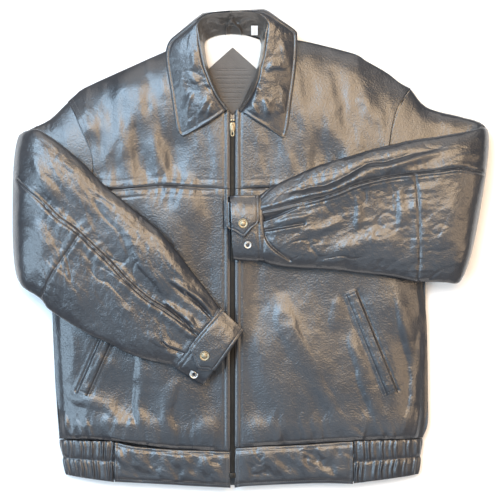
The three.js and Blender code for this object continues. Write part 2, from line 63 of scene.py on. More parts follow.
def curvePoints(path, count):
    # Catmull-Rom curve through the given points, sampled at equal arc lengths
    p = np.asarray(path, float)
    if len(p) > 2:
        q = np.vstack([2 * p[0] - p[1], p, 2 * p[-1] - p[-2]])
        t = np.linspace(0, 1, 12, endpoint=False)[:, None]
        a, b, c, d = (q[i:len(q) - 3 + i, None, :] for i in range(4))
        dense = 0.5 * (2 * b + (c - a) * t + (2 * a - 5 * b + 4 * c - d) * t ** 2 + (3 * b - a - 3 * c + d) * t ** 3)
        p = np.vstack([dense.reshape(-1, p.shape[1]), p[-1:]])
    step = np.linalg.norm(np.diff(p, axis=0), axis=1)
    run = np.concatenate([[0], np.cumsum(step)])
    wanted = np.linspace(0, run[-1], count) if np.ndim(count) == 0 else np.asarray(count) * run[-1]
    return np.stack([np.interp(wanted, run, p[:, k]) for k in range(p.shape[1])], axis=1)


def nearPath(x, y, path, samples=40):
    # signed distance to a plan curve (positive on its left) and the share along it of the nearest place
    p = curvePoints(path, samples)
    best = np.full(x.shape, 1e9)
    sign = np.zeros(x.shape)
    share = np.zeros(x.shape)
    for i in range(len(p) - 1):
        ax, ay = p[i]
        bx, by = p[i + 1] - p[i]
        length = bx * bx + by * by + 1e-9
        t = np.clip(((x - ax) * bx + (y - ay) * by) / length, 0, 1)
        dx, dy = x - ax - t * bx, y - ay - t * by
        d = np.hypot(dx, dy)
        closer = d < best
        best = np.where(closer, d, best)
        sign = np.where(closer, np.sign(bx * dy - by * dx + 1e-12), sign)
        share = np.where(closer, (i + t) / (len(p) - 1), share)
    return best * sign, share


def smooth(a, b, value):
    t = np.clip((value - a) / (b - a), 0, 1)
    return t * t * (3 - 2 * t)


def noise(x, y, size, seed):
    # value noise from -1 to 1: random numbers on a lattice, blended by a quintic between its corners
    table = np.random.default_rng(seed).uniform(-1, 1, (128, 128))
    gx, gy = x / size + 61.3, y / size + 37.7
    ix, iy = np.floor(gx).astype(int), np.floor(gy).astype(int)
    fx, fy = gx - ix, gy - iy
    fx, fy = fx ** 3 * (fx * (6 * fx - 15) + 10), fy ** 3 * (fy * (6 * fy - 15) + 10)
    at = lambda i, j: table[(ix + i) % 128, (iy + j) % 128]
    low = at(0, 0) * (1 - fx) + at(1, 0) * fx
    high = at(0, 1) * (1 - fx) + at(1, 1) * fx
    return low * (1 - fy) + high * fy


def puffs(x, y, size, seed):
    # soft swellings: three octaves of noise on warped coordinates
    wx = x + 0.35 * size * noise(x, y, size * 1.6, seed + 11)
    wy = y + 0.35 * size * noise(x, y, size * 1.6, seed + 12)
    layered = noise(wx, wy, size, seed) + 0.42 * noise(wx, wy, size * 0.5, seed + 1)
    return (layered + 0.16 * noise(wx, wy, size * 0.25, seed + 2)) / 1.3


def creases(x, y, size, seed, width=0.10):
    # thin valleys along the zero lines of noise, present only in patches
    wx = x + 0.5 * size * noise(x, y, size * 0.8, seed + 21)
    wy = y + 0.5 * size * noise(x, y, size * 0.8, seed + 22)
    where = smooth(-0.1, 0.5, noise(x, y, size * 2.2, seed + 23))
    return -np.exp(-(noise(wx, wy, size, seed) / width) ** 2) * where


def groove(x, y, path, width, depth, samples=40):
    d, _ = nearPath(x, y, path, samples)
    return -depth * np.exp(-(d / width) ** 2)


def fold(x, y, path, width, height, lean=0.0, samples=40):
    # a rounded ridge along a wandering curve, widest halfway, with a narrow valley on its leaning side
    d, t = nearPath(x, y, path, samples)
    d = d + 0.3 * width * noise(x, y, 30, 77) + 0.1 * width * noise(x, y, 11, 78)
    fade = smooth(0, 0.35, t) * smooth(0, 0.35, 1 - t)
    width = width * (0.62 + 0.55 * np.sin(np.pi * t))
    ridge = np.exp(-((d - lean * width * 0.9) / width) ** 2)
    valley = np.exp(-(np.hypot(d + lean * width * 0.35, 1.2) - 1.2) / (0.42 * width))
    return height * fade * (ridge - 0.95 * valley * abs(lean))


def pucker(x, y, path, reach, pitch, height, seed, samples=40):
    # ripples across a seam: noise along the curve that dies away on both sides of it
    d, t = nearPath(x, y, path, samples)
    p = curvePoints(path, samples)
    length = np.linalg.norm(np.diff(p, axis=0), axis=1).sum()
    along = t * length + 0.25 * np.abs(d) * noise(x, y, 30, seed + 3)
    wave = noise(along, 0 * along + seed, pitch, seed) + 0.5 * noise(along, 0 * along, pitch * 0.5, seed + 1)
    return height * wave * np.exp(-np.abs(d) / reach) * (1 - 0.8 * np.exp(-(d / 2.5) ** 2))


def gridMesh(name, points, ring=False, flip=False):
    # quads between neighbouring rows and columns; a ring joins its last column to its first
    rows, cols = points.shape[:2]
    index = np.arange(rows * cols).reshape(rows, cols)
    if ring:
        index = np.concatenate([index, index[:, :1]], axis=1)
    quads = np.stack([index[:-1, :-1], index[:-1, 1:], index[1:, 1:], index[1:, :-1]], axis=-1).reshape(-1, 4)
    if flip:
        quads = quads[:, ::-1]
    mesh = bpy.data.meshes.new(name)
    mesh.from_pydata(metres(points).reshape(-1, 3).tolist(), [], quads.tolist())
    mesh.polygons.foreach_set("use_smooth", np.ones(len(quads), bool))
    mesh.update()
    obj = bpy.data.objects.new(name, mesh)
    bpy.context.scene.collection.objects.link(obj)
    return obj


def patchPlan(bottom, top, left, right, rows, cols):
    # plan of a panel between four border curves: both ruled surfaces added, less the corners' bilinear one
    u = np.linspace(0, 1, cols)[None, :, None]
    v = np.linspace(0, 1, rows)[:, None, None]
    b, t = curvePoints(bottom, cols)[None], curvePoints(top, cols)[None]
    l, r = curvePoints(left, rows)[:, None], curvePoints(right, rows)[:, None]
    corners = (1 - u) * (1 - v) * b[:, :1] + u * (1 - v) * b[:, -1:] + (1 - u) * v * t[:, :1] + u * v * t[:, -1:]
    return (1 - v) * b + v * t + (1 - u) * l + u * r - corners


def withModifier(obj, kind, **values):
    m = obj.modifiers.new(kind.lower(), kind)
    for key, value in values.items():
        setattr(m, key, value)
    return m


def applyAll(obj):
    bpy.context.view_layer.update()
    baked = bpy.data.meshes.new_from_object(obj.evaluated_get(bpy.context.evaluated_depsgraph_get()))
    baked.name = obj.name
    obj.modifiers.clear()
    obj.data = baked
    return obj


def leatherSheet(obj, thickness, rim=0.0006):
    # wall under the outer face, with its cut edges rounded
    withModifier(obj, "SOLIDIFY", thickness=thickness, offset=-1.0)
    withModifier(obj, "BEVEL", width=rim, segments=2, limit_method="ANGLE", angle_limit=1.05)
    return applyAll(obj)


def finishPiece(obj, body, material, replaces=()):
    obj.data.materials.clear()
    obj.data.materials.append(material)
    if isinstance(body, str):
        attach(obj, body)
    else:
        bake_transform(obj)
    if replaces:
        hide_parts(*replaces)
    return obj


def topFinder(*objects):
    # looks straight down on finished pieces: plan points in, points and normals on the surface out
    trees = [BVHTree.FromObject(o, bpy.context.evaluated_depsgraph_get()) for o in objects]

    def find(plan):
        ground = metres(np.column_stack([plan, np.zeros(len(plan))]))
        hits = []
        for gx, gy, _ in ground:
            found = [t.ray_cast(Vector((gx, gy, 0.3)), Vector((0, 0, -1))) for t in trees]
            found = [f for f in found if f[0] is not None]
            best = max(found, key=lambda f: f[0].z) if found else None
            hits.append(best[:2] if best else None)
        keep = np.array([h is not None for h in hits])
        spots = np.array([h[0][:] for h in hits if h], float).reshape(-1, 3)
        ups = np.array([h[1][:] for h in hits if h], float).reshape(-1, 3)
        return spots, ups, keep
    return find


# one stitch: a thread capsule of six-sided rings, each with its place along x, radius and height in stitch units
def stitchTemplate(sides=6):
    rings = [(-0.5, 0.25, -0.5), (-0.36, 0.85, 0.1), (-0.12, 1.0, 0.55), (0.12, 1.0, 0.55), (0.36, 0.85, 0.1),
             (0.5, 0.25, -0.5)]
    angle = np.linspace(0, 2 * np.pi, sides, endpoint=False)
    verts = np.array([[x, r * np.cos(a), h + r * np.sin(a)] for x, r, h in rings for a in angle])
    faces = [[i * sides + j, i * sides + (j + 1) % sides, (i + 1) * sides + (j + 1) % sides, (i + 1) * sides + j]
             for i in range(len(rings) - 1) for j in range(sides)]
    faces += [list(range(sides))[::-1], [len(rings) * sides - sides + j for j in range(sides)]]
    return verts, faces


stitchVerts, stitchFaces = stitchTemplate()


def stitchMesh(name, runs, length=2.6, radius=0.34):
    # every run is points and normals one stitch apart; a copy of the capsule is turned along each
    centres, alongs, ups = [], [], []
    for spots, normals in runs:
        if len(spots) < 3:
            continue
        tangent = np.gradient(spots, axis=0)
        centres.append(spots)
        alongs.append(tangent)
        ups.append(normals)
    if not centres:
        raise ValueError(name + " has no stitches")
    c, a, n = np.vstack(centres), np.vstack(alongs), np.vstack(ups)
    a /= np.linalg.norm(a, axis=1, keepdims=True) + 1e-12
    side = np.cross(n, a)
    side /= np.linalg.norm(side, axis=1, keepdims=True) + 1e-12
    n = np.cross(a, side)
    v = stitchVerts
    points = (c[:, None] + a[:, None] * (v[None, :, :1] * length * 0.001)
              + side[:, None] * (v[None, :, 1:2] * radius * 0.001) + n[:, None] * (v[None, :, 2:3] * radius * 0.001))
    faces = []
    for k in range(len(c)):
        base = k * len(v)
        faces += [[base + i for i in f] for f in stitchFaces]
    mesh = bpy.data.meshes.new(name)
    mesh.from_pydata(points.reshape(-1, 3).tolist(), [], faces)
    mesh.polygons.foreach_set("use_smooth", np.ones(len(faces), bool))
    mesh.update()
    obj = bpy.data.objects.new(name, mesh)
    bpy.context.scene.collection.objects.link(obj)
    return obj


def stitchRuns(find, paths, pitch=3.2):
    runs = []
    for path in paths:
        p = np.asarray(path, float)
        length = np.linalg.norm(np.diff(curvePoints(p, 60), axis=0), axis=1).sum()
        plan = curvePoints(p, max(4, int(length / pitch)))
        spots, ups, keep = find(plan)
        breaks = np.flatnonzero(~keep)
        if len(breaks):
            parts = np.split(np.arange(len(plan)), breaks)
            order = np.cumsum(keep) - 1
            for part in parts:
                part = part[keep[part]]
                if len(part) > 3:
                    runs.append((spots[order[part]], ups[order[part]]))
        else:
            runs.append((spots, ups))
    return runs


def besidePath(path, offset, count=40):
    # the same curve moved sideways, to its left where the offset is positive
    p = curvePoints(path, count)
    t = np.gradient(p, axis=0)
    t /= np.linalg.norm(t, axis=1, keepdims=True)
    return p + offset * np.stack([-t[:, 1], t[:, 0]], axis=1)


class Wire:
    # a shader socket that reads as arithmetic
    def __init__(self, paint, socket):
        self.paint, self.socket = paint, socket

    def math(self, operation, *values):
        return self.paint.node("ShaderNodeMath", {"operation": operation}, *values).out("Value")

    def __add__(self, other): return self.math("ADD", self, other)
    def __radd__(self, other): return self.math("ADD", other, self)
    def __sub__(self, other): return self.math("SUBTRACT", self, other)
    def __rsub__(self, other): return self.math("SUBTRACT", other, self)
    def __mul__(self, other): return self.math("MULTIPLY", self, other)
    def __rmul__(self, other): return self.math("MULTIPLY", other, self)
    def __pow__(self, other): return self.math("POWER", self, other)
    def clipped(self, low, high): return self.math("MINIMUM", self.math("MAXIMUM", self, low), high)


class Made:
    def __init__(self, paint, node):
        self.paint, self.node = paint, node

    def out(self, name):
        return Wire(self.paint, self.node.outputs[name])


class Paint:
    def __init__(self, name):
        self.material = bpy.data.materials.new(name)
        self.material.use_nodes = True
        self.tree = self.material.node_tree
        self.tree.nodes.clear()
        self.shader = self.node("ShaderNodeBsdfPrincipled", {})
        self.node("ShaderNodeOutputMaterial", {}, Surface=self.shader.out("BSDF"))
        self.place = self.node("ShaderNodeTexCoord", {}).out("Object")

    def node(self, kind, settings, *values, **named):
        made = self.tree.nodes.new(kind)
        for key, value in settings.items():
            if key == "stops":
                ramp = made.color_ramp
                while len(ramp.elements) < len(value):
                    ramp.elements.new(0.5)
                for element, (position, colour) in zip(ramp.elements, value):
                    element.position = position
                    element.color = (*colour, 1)
            else:
                setattr(made, key, value)
        for key, value in list(enumerate(values)) + [(k.replace("_", " "), v) for k, v in named.items()]:
            socket = made.inputs[key]
            if isinstance(value, Wire):
                self.tree.links.new(value.socket, socket)
            else:
                socket.default_value = value
        return Made(self, made)

    def noise(self, scale, detail=3.0, roughness=0.55, place=None):
        return self.node("ShaderNodeTexNoise", {}, Vector=place or self.place, Scale=scale, Detail=detail,
                         Roughness=roughness).out("Fac")

    def cells(self, scale, feature="F1"):
        return self.node("ShaderNodeTexVoronoi", {"feature": feature}, Vector=self.place, Scale=scale).out("Distance")

    def mixColour(self, factor, a, b):
        made = self.tree.nodes.new("ShaderNodeMix")
        made.data_type = "RGBA"
        for key, value in ((0, factor), (6, a), (7, b)):
            if isinstance(value, Wire):
                self.tree.links.new(value.socket, made.inputs[key])
            else:
                made.inputs[key].default_value = value if key == 0 else (*value[:3], 1)
        return Wire(self, made.outputs[2])

    def set(self, **values):
        for key, value in values.items():
            socket = self.shader.node.inputs[key.replace("_", " ")]
            if isinstance(value, Wire):
                self.tree.links.new(value.socket, socket)
            elif isinstance(value, tuple) and len(value) == 3:
                socket.default_value = (*value, 1)
            else:
                socket.default_value = value
        return self

    def bump(self, height, strength, distance):
        made = self.node("ShaderNodeBump", {}, Strength=strength, Distance=distance, Height=height)
        self.tree.links.new(made.node.outputs["Normal"], self.shader.node.inputs["Normal"])
        return self


leatherLook = {"dark": (0.015, 0.017, 0.022), "pale": (0.040, 0.040, 0.044), "roughness": 0.28,
               "coat": 0.38, "creaseMm": 8.0, "grainMm": 2.1}


def leatherPaint(name, look):
    p = Paint(name)
    wide = p.noise(9.0, 3.0)
    crease = p.noise(1000 / look["creaseMm"], 4.0, 0.6)
    fine = p.noise(1000 / 2.8, 3.0, 0.6)
    grain = p.cells(1000 / look["grainMm"], "SMOOTH_F1")
    worn = ((wide * 1.6 - 0.55) + (crease - 0.5) * 0.8).clipped(0.0, 1.0)
    p.set(Base_Color=p.mixColour(worn, look["dark"], look["pale"]),
          Roughness=(look["roughness"] - 0.06) + wide * 0.10 + crease * 0.10,
          Specular_IOR_Level=0.62, Coat_Weight=look["coat"], Coat_Roughness=0.18, Coat_IOR=1.5)
    p.bump(crease * 0.34 + fine * 0.20 + grain * 0.36, 0.70, 0.0013)
    return p.material


leather = leatherPaint("blackGarmentLeather", leatherLook)
# the collar stand and the hanger loop use the same black leather painted lighter: painted sheen that stands in for the
# light these steep pieces would catch
paintedSheenLeather = leatherPaint("collarStandLeatherPaintedSheen", {**leatherLook, "dark": (0.046, 0.042, 0.040),
                                                   "pale": (0.105, 0.095, 0.085), "roughness": 0.33})


def clothPaint(name, colour, shade, threadMm, roughness, sheen=0.2, strength=0.4):
    p = Paint(name)
    weaveX = p.node("ShaderNodeTexWave", {"bands_direction": "X"}, Vector=p.place,
                    Scale=1000 / threadMm / 6.28).out("Fac")
    weaveY = p.node("ShaderNodeTexWave", {"bands_direction": "Y"}, Vector=p.place,
                    Scale=1000 / threadMm / 6.28).out("Fac")
    wide = p.noise(30.0, 3.0)
    p.set(Base_Color=p.mixColour(wide * 0.8, colour, shade), Roughness=roughness + wide * 0.1, Sheen_Weight=sheen)
    p.bump(weaveX * 0.5 + weaveY * 0.5 + wide * 0.6, strength, 0.0004)
    return p.material


satin = clothPaint("paleSatinLining", (0.86, 0.84, 0.80), (0.74, 0.72, 0.68), 0.5, 0.42, 0.3, 0.25)
lockerLeather = leatherPaint("greyBrownLockerPatch", {"dark": (0.085, 0.075, 0.068), "pale": (0.15, 0.135, 0.125),
                                                      "roughness": 0.55, "coat": 0.0, "creaseMm": 14.0, "grainMm": 1.0})
cotton = clothPaint("pocketCotton", (0.22, 0.21, 0.20), (0.15, 0.145, 0.14), 0.8, 0.8)
tapeCloth = clothPaint("blackZipTape", (0.012, 0.012, 0.013), (0.022, 0.022, 0.024), 0.9, 0.75, 0.15, 0.6)
labelCloth = clothPaint("wovenLabel", (0.88, 0.87, 0.85), (0.80, 0.79, 0.77), 0.4, 0.6)
# the thread's own colour is black; it is painted dark grey as painted highlight, so the stitches read as light beads on
# the leather
threadWithPaintedHighlight = clothPaint("blackThreadPaintedHighlight", (0.105, 0.10, 0.10), (0.17, 0.16, 0.15), 0.3, 0.42, 0.1, 0.5)


def metalPaint(name, colour, shade, roughness):
    p = Paint(name)
    wide = p.noise(220.0, 4.0, 0.6)
    p.set(Base_Color=p.mixColour((wide * 1.8 - 0.5).clipped(0.0, 1.0), colour, shade), Metallic=1.0,
          Roughness=roughness + wide * 0.15)
    p.bump(p.noise(1400.0, 2.0), 0.2, 0.0001)
    return p.material


antiqueBrass = metalPaint("antiqueBrass", (0.34, 0.29, 0.20), (0.15, 0.125, 0.09), 0.34)
zipBrass = metalPaint("zipBrass", (0.31, 0.26, 0.175), (0.14, 0.115, 0.08), 0.34)
darkTeeth = metalPaint("darkZipTeeth", (0.055, 0.05, 0.043), (0.02, 0.019, 0.018), 0.38)
nickel = metalPaint("nickelSnap", (0.46, 0.45, 0.43), (0.24, 0.23, 0.22), 0.24)
print("materials ready")


torso = {"sideLevel": 15.0, "frontLevel": 30.0, "riseOver": 88.0, "leather": 1.7, "cell": 1.9, "highest": 33.6,
         "broad": 3.1, "middling": 1.5, "fine": 0.16, "yokeStreaks": 1.5, "waistBlouse": 2.6, "lipDrop": 1.9}

rightSide = [(-281, -340), (-287, -312), (-292, -286), (-291, -255), (-297, -215), (-300, -145), (-302, -92),
             (-299, -40), (-295, 12)]
leftSide = [(251, -337), (254, -312), (257, -285), (264, -262), (265, -217), (264, -145), (262, -97), (258, -60),
            (256, -20), (258, 26)]
rightArm = [(-295, 12), (-272, 48), (-250, 78), (-239, 98), (-241, 137), (-249, 160), (-258, 180), (-267, 201),
            (-279, 222)]
leftArm = [(258, 26), (236, 52), (214, 74), (204, 96), (203, 130), (208, 176), (214, 200), (221, 218), (231, 232),
           (239, 242)]
rightShoulder = [(-279, 222), (-268, 232), (-252, 244), (-190, 272), (-129, 299), (-80, 318)]
leftShoulder = [(239, 242), (222, 251), (203, 266), (173, 283), (149, 296), (68, 315), (19, 320)]
rightYokeSeam = [(-239, 92), (-211, 89), (-170, 92), (-128, 95), (-80, 92), (-37, 90)]
leftYokeSeam = [(-23, 90), (20, 91), (100, 92), (204, 92)]
rightWaistSeam = [(-292, -287), (-250, -286), (-211, -288), (-171, -296), (-116, -300), (-37, -303)]
leftWaistSeam = [(-23, -297), (20, -294), (56, -293), (140, -288), (164, -287), (210, -286), (257, -285)]
rightHem = [(-281, -340), (-271, -342), (-245, -346), (-211, -350), (-163, -352), (-92, -356), (-37, -359)]
leftHem = [(-23, -359), (-4, -356), (92, -352), (154, -353), (200, -352), (226, -350), (242, -345), (251, -337)]

rightPinch = [rightSide[0], rightSide[2], rightSide[4], rightSide[6], rightSide[8], (-318, -26), (-340, -54)]
leftPinch = [leftSide[0], leftSide[2], leftSide[4], leftSide[6], leftSide[9], (282, 0), (302, -30)]
rightPinchTop = [(-342, 178), (-306, 196), (-279, 222), (-252, 244), (-129, 299), (-80, 320)]
leftPinchTop = [(345, 186), (290, 203), (239, 242), (203, 266), (149, 296), (68, 315), (19, 322)]

rightPocket = [(-257, -216), (-222, -139), (-187, -64)]
leftPocket = [(210, -216), (178, -138), (147, -61)]


# plan heights of the waist seam and the hem along x
waistXs, waistYs = [-292, -211, -116, -37, -23, 56, 164, 257], [-287, -288, -300, -303, -297, -293, -287, -285]
hemXs, hemYs = [-281, -211, -92, -37, -23, 92, 200, 251], [-340, -350, -356, -359, -359, -352, -352, -337]


def frontBase(x, y):
    # level of the front leather before any relief: it rises from the side and shoulder seams
    d = np.full(x.shape, 1e9)
    for path in (rightPinch, leftPinch, rightPinchTop, leftPinchTop):
        d = np.minimum(d, np.abs(nearPath(x, y, path, 30)[0]))
    rise = 1 - (1 - np.clip(d / torso["riseOver"], 0, 1)) ** 3.2
    return torso["sideLevel"] + (torso["frontLevel"] - torso["sideLevel"]) * rise


def frontRelief(x, y):
    # everything the front leather does above or below its base level
    away = smooth(9, 42, np.abs(x - zipX))   # calm beside the zip
    z = torso["broad"] * noise(x + 0.3 * y, y * 0.7, 78, 5) + torso["middling"] * noise(x + 0.2 * y, y * 0.6, 36, 9)
    z = z + torso["fine"] * noise(x, y, 11, 10)
    # long soft streaks down the yokes, fainter ones down the fronts
    streaks = torso["yokeStreaks"] * noise(x + 0.1 * y, y * 0.25, 24, 21) + 0.32 * noise(x + 0.1 * y, y * 0.3, 9, 23)
    z += streaks * smooth(60, 130, y)
    z += 0.4 * noise(x - 0.3 * y, y * 0.3, 20, 22) * (1 - smooth(40, 110, y))
    # below the yoke the fronts sag between the folded sleeves
    sagging = (4.2 * smooth(-60, 80, y) - 3.0) * smooth(190, 90, np.abs(x + 50))
    z += sagging * smooth(-130, -60, y) * (1 - smooth(76, 92, y))
    # yoke seam: pulled in, puckered on both sides
    for path in (rightYokeSeam, leftYokeSeam):
        d, _ = nearPath(x, y, path)
        sunken = -1.9 * np.exp(-(d / 1.7) ** 2) + 0.8 * np.exp(-(d / 14) ** 2)
        z += sunken - 0.5 * np.exp(-((np.abs(d) - 13) / 1.3) ** 2)
        z += pucker(x, y, path, 12, 7.0, 1.1, 31)
    # the body blouses over the waistband
    above = y - np.interp(x, waistXs, waistYs)
    z += torso["waistBlouse"] * np.exp(-((above - 22) / 20) ** 2) - 3.0 * np.exp(-(above / 3.5) ** 2)
    for path, seed in ((rightWaistSeam, 41), (leftWaistSeam, 42)):
        z += pucker(x, y, path, 24, 9, 1.8, seed)
    # over the right elastic hangs a pouch with pleats under it; each entry is path, width, height and lean
    soft = [([(-294, -218), (-264, -235), (-228, -241), (-206, -253), (-184, -246)], 13, 2.2, 0.45),
            ([(-266, -290), (-274, -266), (-284, -238)], 7, 2.4, 0.6),
            ([(-236, -290), (-242, -272), (-250, -252)], 6, 2.0, 0.6),
            ([(-216, -290), (-210, -272), (-205, -254)], 6, 2.2, -0.6),
            ([(-198, -290), (-192, -272), (-184, -250)], 6, 2.4, -0.6),
            ([(-250, -290), (-256, -270), (-266, -250)], 5, 1.6, 0.6),
            ([(-230, -225), (-222, -190), (-226, -150)], 14, 1.6, 0.4),
            ([(-280, -110), (-276, -150), (-280, -200)], 10, 1.8, 0.4)]
    # long soft folds rise from the left elastic
    soft += [([(209, -45), (226, -126), (238, -169), (236, -217), (221, -290)], 11, 3.8, 0.6),
             ([(140, -120), (146, -152), (168, -217), (187, -260), (188, -292)], 11, 3.2, 0.6),
             ([(246, -60), (252, -110), (248, -150), (258, -190)], 8, 2.2, 0.6),
             ([(246, -132), (262, -142), (270, -146)], 4, 1.6, 0.6),
             ([(214, -292), (212, -268), (200, -240)], 6, 2.4, 0.6),
             ([(202, -292), (196, -270), (182, -246)], 6, 2.0, 0.6),
             ([(236, -292), (244, -262), (246, -230)], 7, 2.0, -0.5),
             ([(174, -292), (160, -275), (140, -262)], 6, 2.0, 0.7),
             ([(126, -60), (116, -90), (120, -130)], 14, 1.8, 0.4), ([(30, -60), (34, -110), (60, -170)], 16, 1.8, 0.4)]
    for path, width, height, lean in soft:
        z += fold(x, y, path, width, height, lean)
    # two deep folds, one on each front
    z += fold(x, y, [(-164, -290), (-178, -245), (-177, -200), (-175, -140)], 11, 3.4, -0.6)
    z += fold(x, y, [(172, -292), (140, -255), (111, -200), (104, -184), (68, -114), (52, -48)], 14, 3.2, 0.45)
    z += fold(x, y, [(-110, -288), (-120, -240), (-104, -190)], 10, 2.4, 0.6)
    z += fold(x, y, [(30, -290), (42, -240), (30, -180)], 11, 2.2, -0.5)
    # drag lines from the shoulders and the armholes
    for path in ([(-236, 110), (-205, 160), (-188, 215)], [(-200, 120), (-180, 170), (-172, 225)],
                 [(-160, 110), (-150, 170), (-150, 230)], [(205, 180), (180, 215), (170, 250)],
                 [(120, 130), (128, 185), (150, 240)], [(90, 120), (92, 180), (100, 240)],
                 [(-270, 215), (-255, 190), (-240, 160)]):
        z += fold(x, y, path, 13, 1.7, 0.2)
    # pockets: the stitched box stands a little, the leather sinks beside it
    for path in (rightPocket, leftPocket):
        d = np.abs(nearPath(x, y, path)[0])
        ends = smooth(0, 0.03, nearPath(x, y, path)[1]) * smooth(0, 0.03, 1 - nearPath(x, y, path)[1])
        seamRise = (0.6 * np.exp(-(d / 10) ** 4) - 0.5 * np.exp(-((d - 15) / 3.5) ** 2)) * ends
        z += seamRise + pucker(x, y, path, 18, 14, 0.5, 61)
    # slit beside each pocket's free edge
    for path in ([(-265, -214), (-230, -135), (-194, -56)], [(218.5, -213), (188, -138), (157.5, -62)]):
        z += groove(x, y, path, 1.8, 2.2)
    z = z * (0.12 + 0.88 * away)
    # turned and stitched edges beside the zip
    beside = np.abs(x - zipX)
    z += 0.8 * (1 - smooth(9.5, 11.5, beside)) - 0.9 * np.exp(-((beside - 11.8) / 1.3) ** 2)
    return z - torso["lipDrop"] * (1 - smooth(2.8, 6.2, beside)) - 0.5 * np.exp(-((beside - 6.6) / 0.9) ** 2)


def frontLevelAt(x, y):
    z = frontBase(x, y) + frontRelief(x, y)
    side = np.minimum(np.abs(nearPath(x, y, rightPinch, 30)[0]), np.abs(nearPath(x, y, leftPinch, 30)[0]))
    cap = torso["highest"]
    z = np.where(z > cap - 2, cap - 2 + 2 * np.tanh((z - cap + 2) / 2), z)
    return np.where(side < 12, torso["sideLevel"] + (z - torso["sideLevel"]) * (0.35 + 0.65 * side / 12), z)


def steps(path):
    return max(8, int(np.linalg.norm(np.diff(curvePoints(path, 50), axis=0), axis=1).sum() / torso["cell"]))


def frontPanel(name, bottom, top, left, right, lift=0.0):
    plan = patchPlan(bottom, top, left, right, steps(left), steps(bottom))
    x, y = plan[..., 0], plan[..., 1]
    return gridMesh(name, np.dstack([x, y, frontLevelAt(x, y) + lift]))


rightEdgeX, leftEdgeX = -32.8, -27.2
rightFront = frontPanel("right_front_skin", [(-292, -286.5), (-211, -288), (-116, -300.2), (rightEdgeX, -303.2)],
                        [(-239, 94), (-211, 91), (-128, 97), (rightEdgeX, 92)],
                        [(-292, -286.5), (-291, -255), (-297, -215), (-300, -145), (-302, -92), (-299, -40), (-295, 12),
                         (-272, 48), (-250, 78), (-239, 94)], [(rightEdgeX, -303.2), (rightEdgeX, 92)], -0.5)
leftFront = frontPanel("left_front_skin",
                       [(leftEdgeX, -298.2), (20, -295), (56, -294), (140, -288.8), (164, -287), (257, -285)],
                       [(leftEdgeX, 92), (20, 93), (100, 94), (204, 94)], [(leftEdgeX, -298.2), (leftEdgeX, 92)],
                       [(257, -285), (264, -262), (265, -217), (264, -145), (262, -97), (258, -60), (256, -20),
                        (258, 26), (236, 52), (214, 74), (204, 94)], -0.5)
rightYoke = frontPanel("right_yoke_skin", rightYokeSeam[:-1] + [(rightEdgeX, 90)],
                       rightShoulder[:-1] + [(-92, 312), (-74, 270), (-52, 226), (rightEdgeX, 206)],
                       [(-239, 92)] + rightArm[4:], [(rightEdgeX, 90), (rightEdgeX, 206)], 0.9)
leftYoke = frontPanel("left_yoke_skin", [(leftEdgeX, 90)] + leftYokeSeam[1:],
                      [(leftEdgeX, 206), (-8, 222), (8, 262), (30, 312), (68, 315), (149, 296), (173, 283), (203, 266),
                       (222, 251), (239, 242)], [(leftEdgeX, 90), (leftEdgeX, 206)], [(204, 92)] + leftArm[4:], 0.9)
for skin in (rightFront, leftFront, rightYoke, leftYoke):
    leatherSheet(skin, torso["leather"] * 0.001)
finishPiece(rightFront, "torso", leather, ["right_front_panel"])
finishPiece(leftFront, "torso", leather, ["left_front_panel"])
finishPiece(rightYoke, "torso", leather, ["right_front_yoke"])
finishPiece(leftYoke, "torso", leather, ["left_front_yoke"])
print("fronts ready")

# flat bordered waistband fronts and gathered elastic sides
band = {"borderMm": 5.0, "ribs": 10, "ribHeight": 2.6}


def waistLevel(x, y):
    # slightly padded band: it rounds down to its seam and hem, with a crumpled middle
    base = frontBase(x, y) - 3.0
    top, low = np.interp(x, waistXs, waistYs), np.interp(x, hemXs, hemYs)
    t = np.clip((y - low) / (top - low), 0, 1)
    pad = 1 - np.abs(2 * t - 1) ** 4
    calm = smooth(8, 26, np.abs(x - zipX))
    crumpled = 2.1 * puffs(x + 0.3 * y, y * 0.6, 15, 71) + 1.3 * creases(x + 0.4 * y, y * 0.7, 13, 72, 0.2)
    z = base + 3.2 * pad + crumpled * pad * calm
    beside = np.abs(x - zipX)
    z = np.where(beside < 14, np.minimum(z, torso["frontLevel"]), z)
    return z - torso["lipDrop"] * (1 - smooth(2.8, 6.2, beside))


def bandFront(name, bottom, top, left, right):
    plan = patchPlan(bottom, top, left, right, 34, int(abs(bottom[-1][0] - bottom[0][0]) / 2.2))
    x, y = plan[..., 0], plan[..., 1]
    z = waistLevel(x, y)
    for path in (bottom, top, left, right):
        inner = [tuple(p) for p in curvePoints(path, 20)]
        d = np.abs(nearPath(x, y, inner, 20)[0])
        z = z - 0.9 * np.exp(-((d - band["borderMm"]) / 1.6) ** 2)
    return gridMesh(name, np.dstack([x, y, z]))


rightBandHem = [(-207, -350), (-163, -352), (-92, -356), (rightEdgeX, -359)]
rightBandTop = [(-207, -290), (-171, -297), (-116, -301), (rightEdgeX, -304)]
leftBandHem = [(leftEdgeX, -359), (-4, -356), (92, -352), (151, -353)]
leftBandTop = [(leftEdgeX, -299), (20, -295.5), (56, -295), (140, -289.5), (151, -289)]
rightBandBorder = [rightBandHem, rightBandTop, [(-207, -350), (-207, -290)], [(rightEdgeX, -359), (rightEdgeX, -304)]]
leftBandBorder = [leftBandHem, leftBandTop, [(leftEdgeX, -359), (leftEdgeX, -299)], [(151, -353), (151, -289)]]
rightBand = bandFront("right_waistband_skin", *rightBandBorder)
leftBand = bandFront("left_waistband_skin", *leftBandBorder)
for skin, side in ((rightBand, "right"), (leftBand, "left")):
    leatherSheet(skin, 0.0026)
    finishPiece(skin, "torso", leather, [f"{side}_waistband_front"])


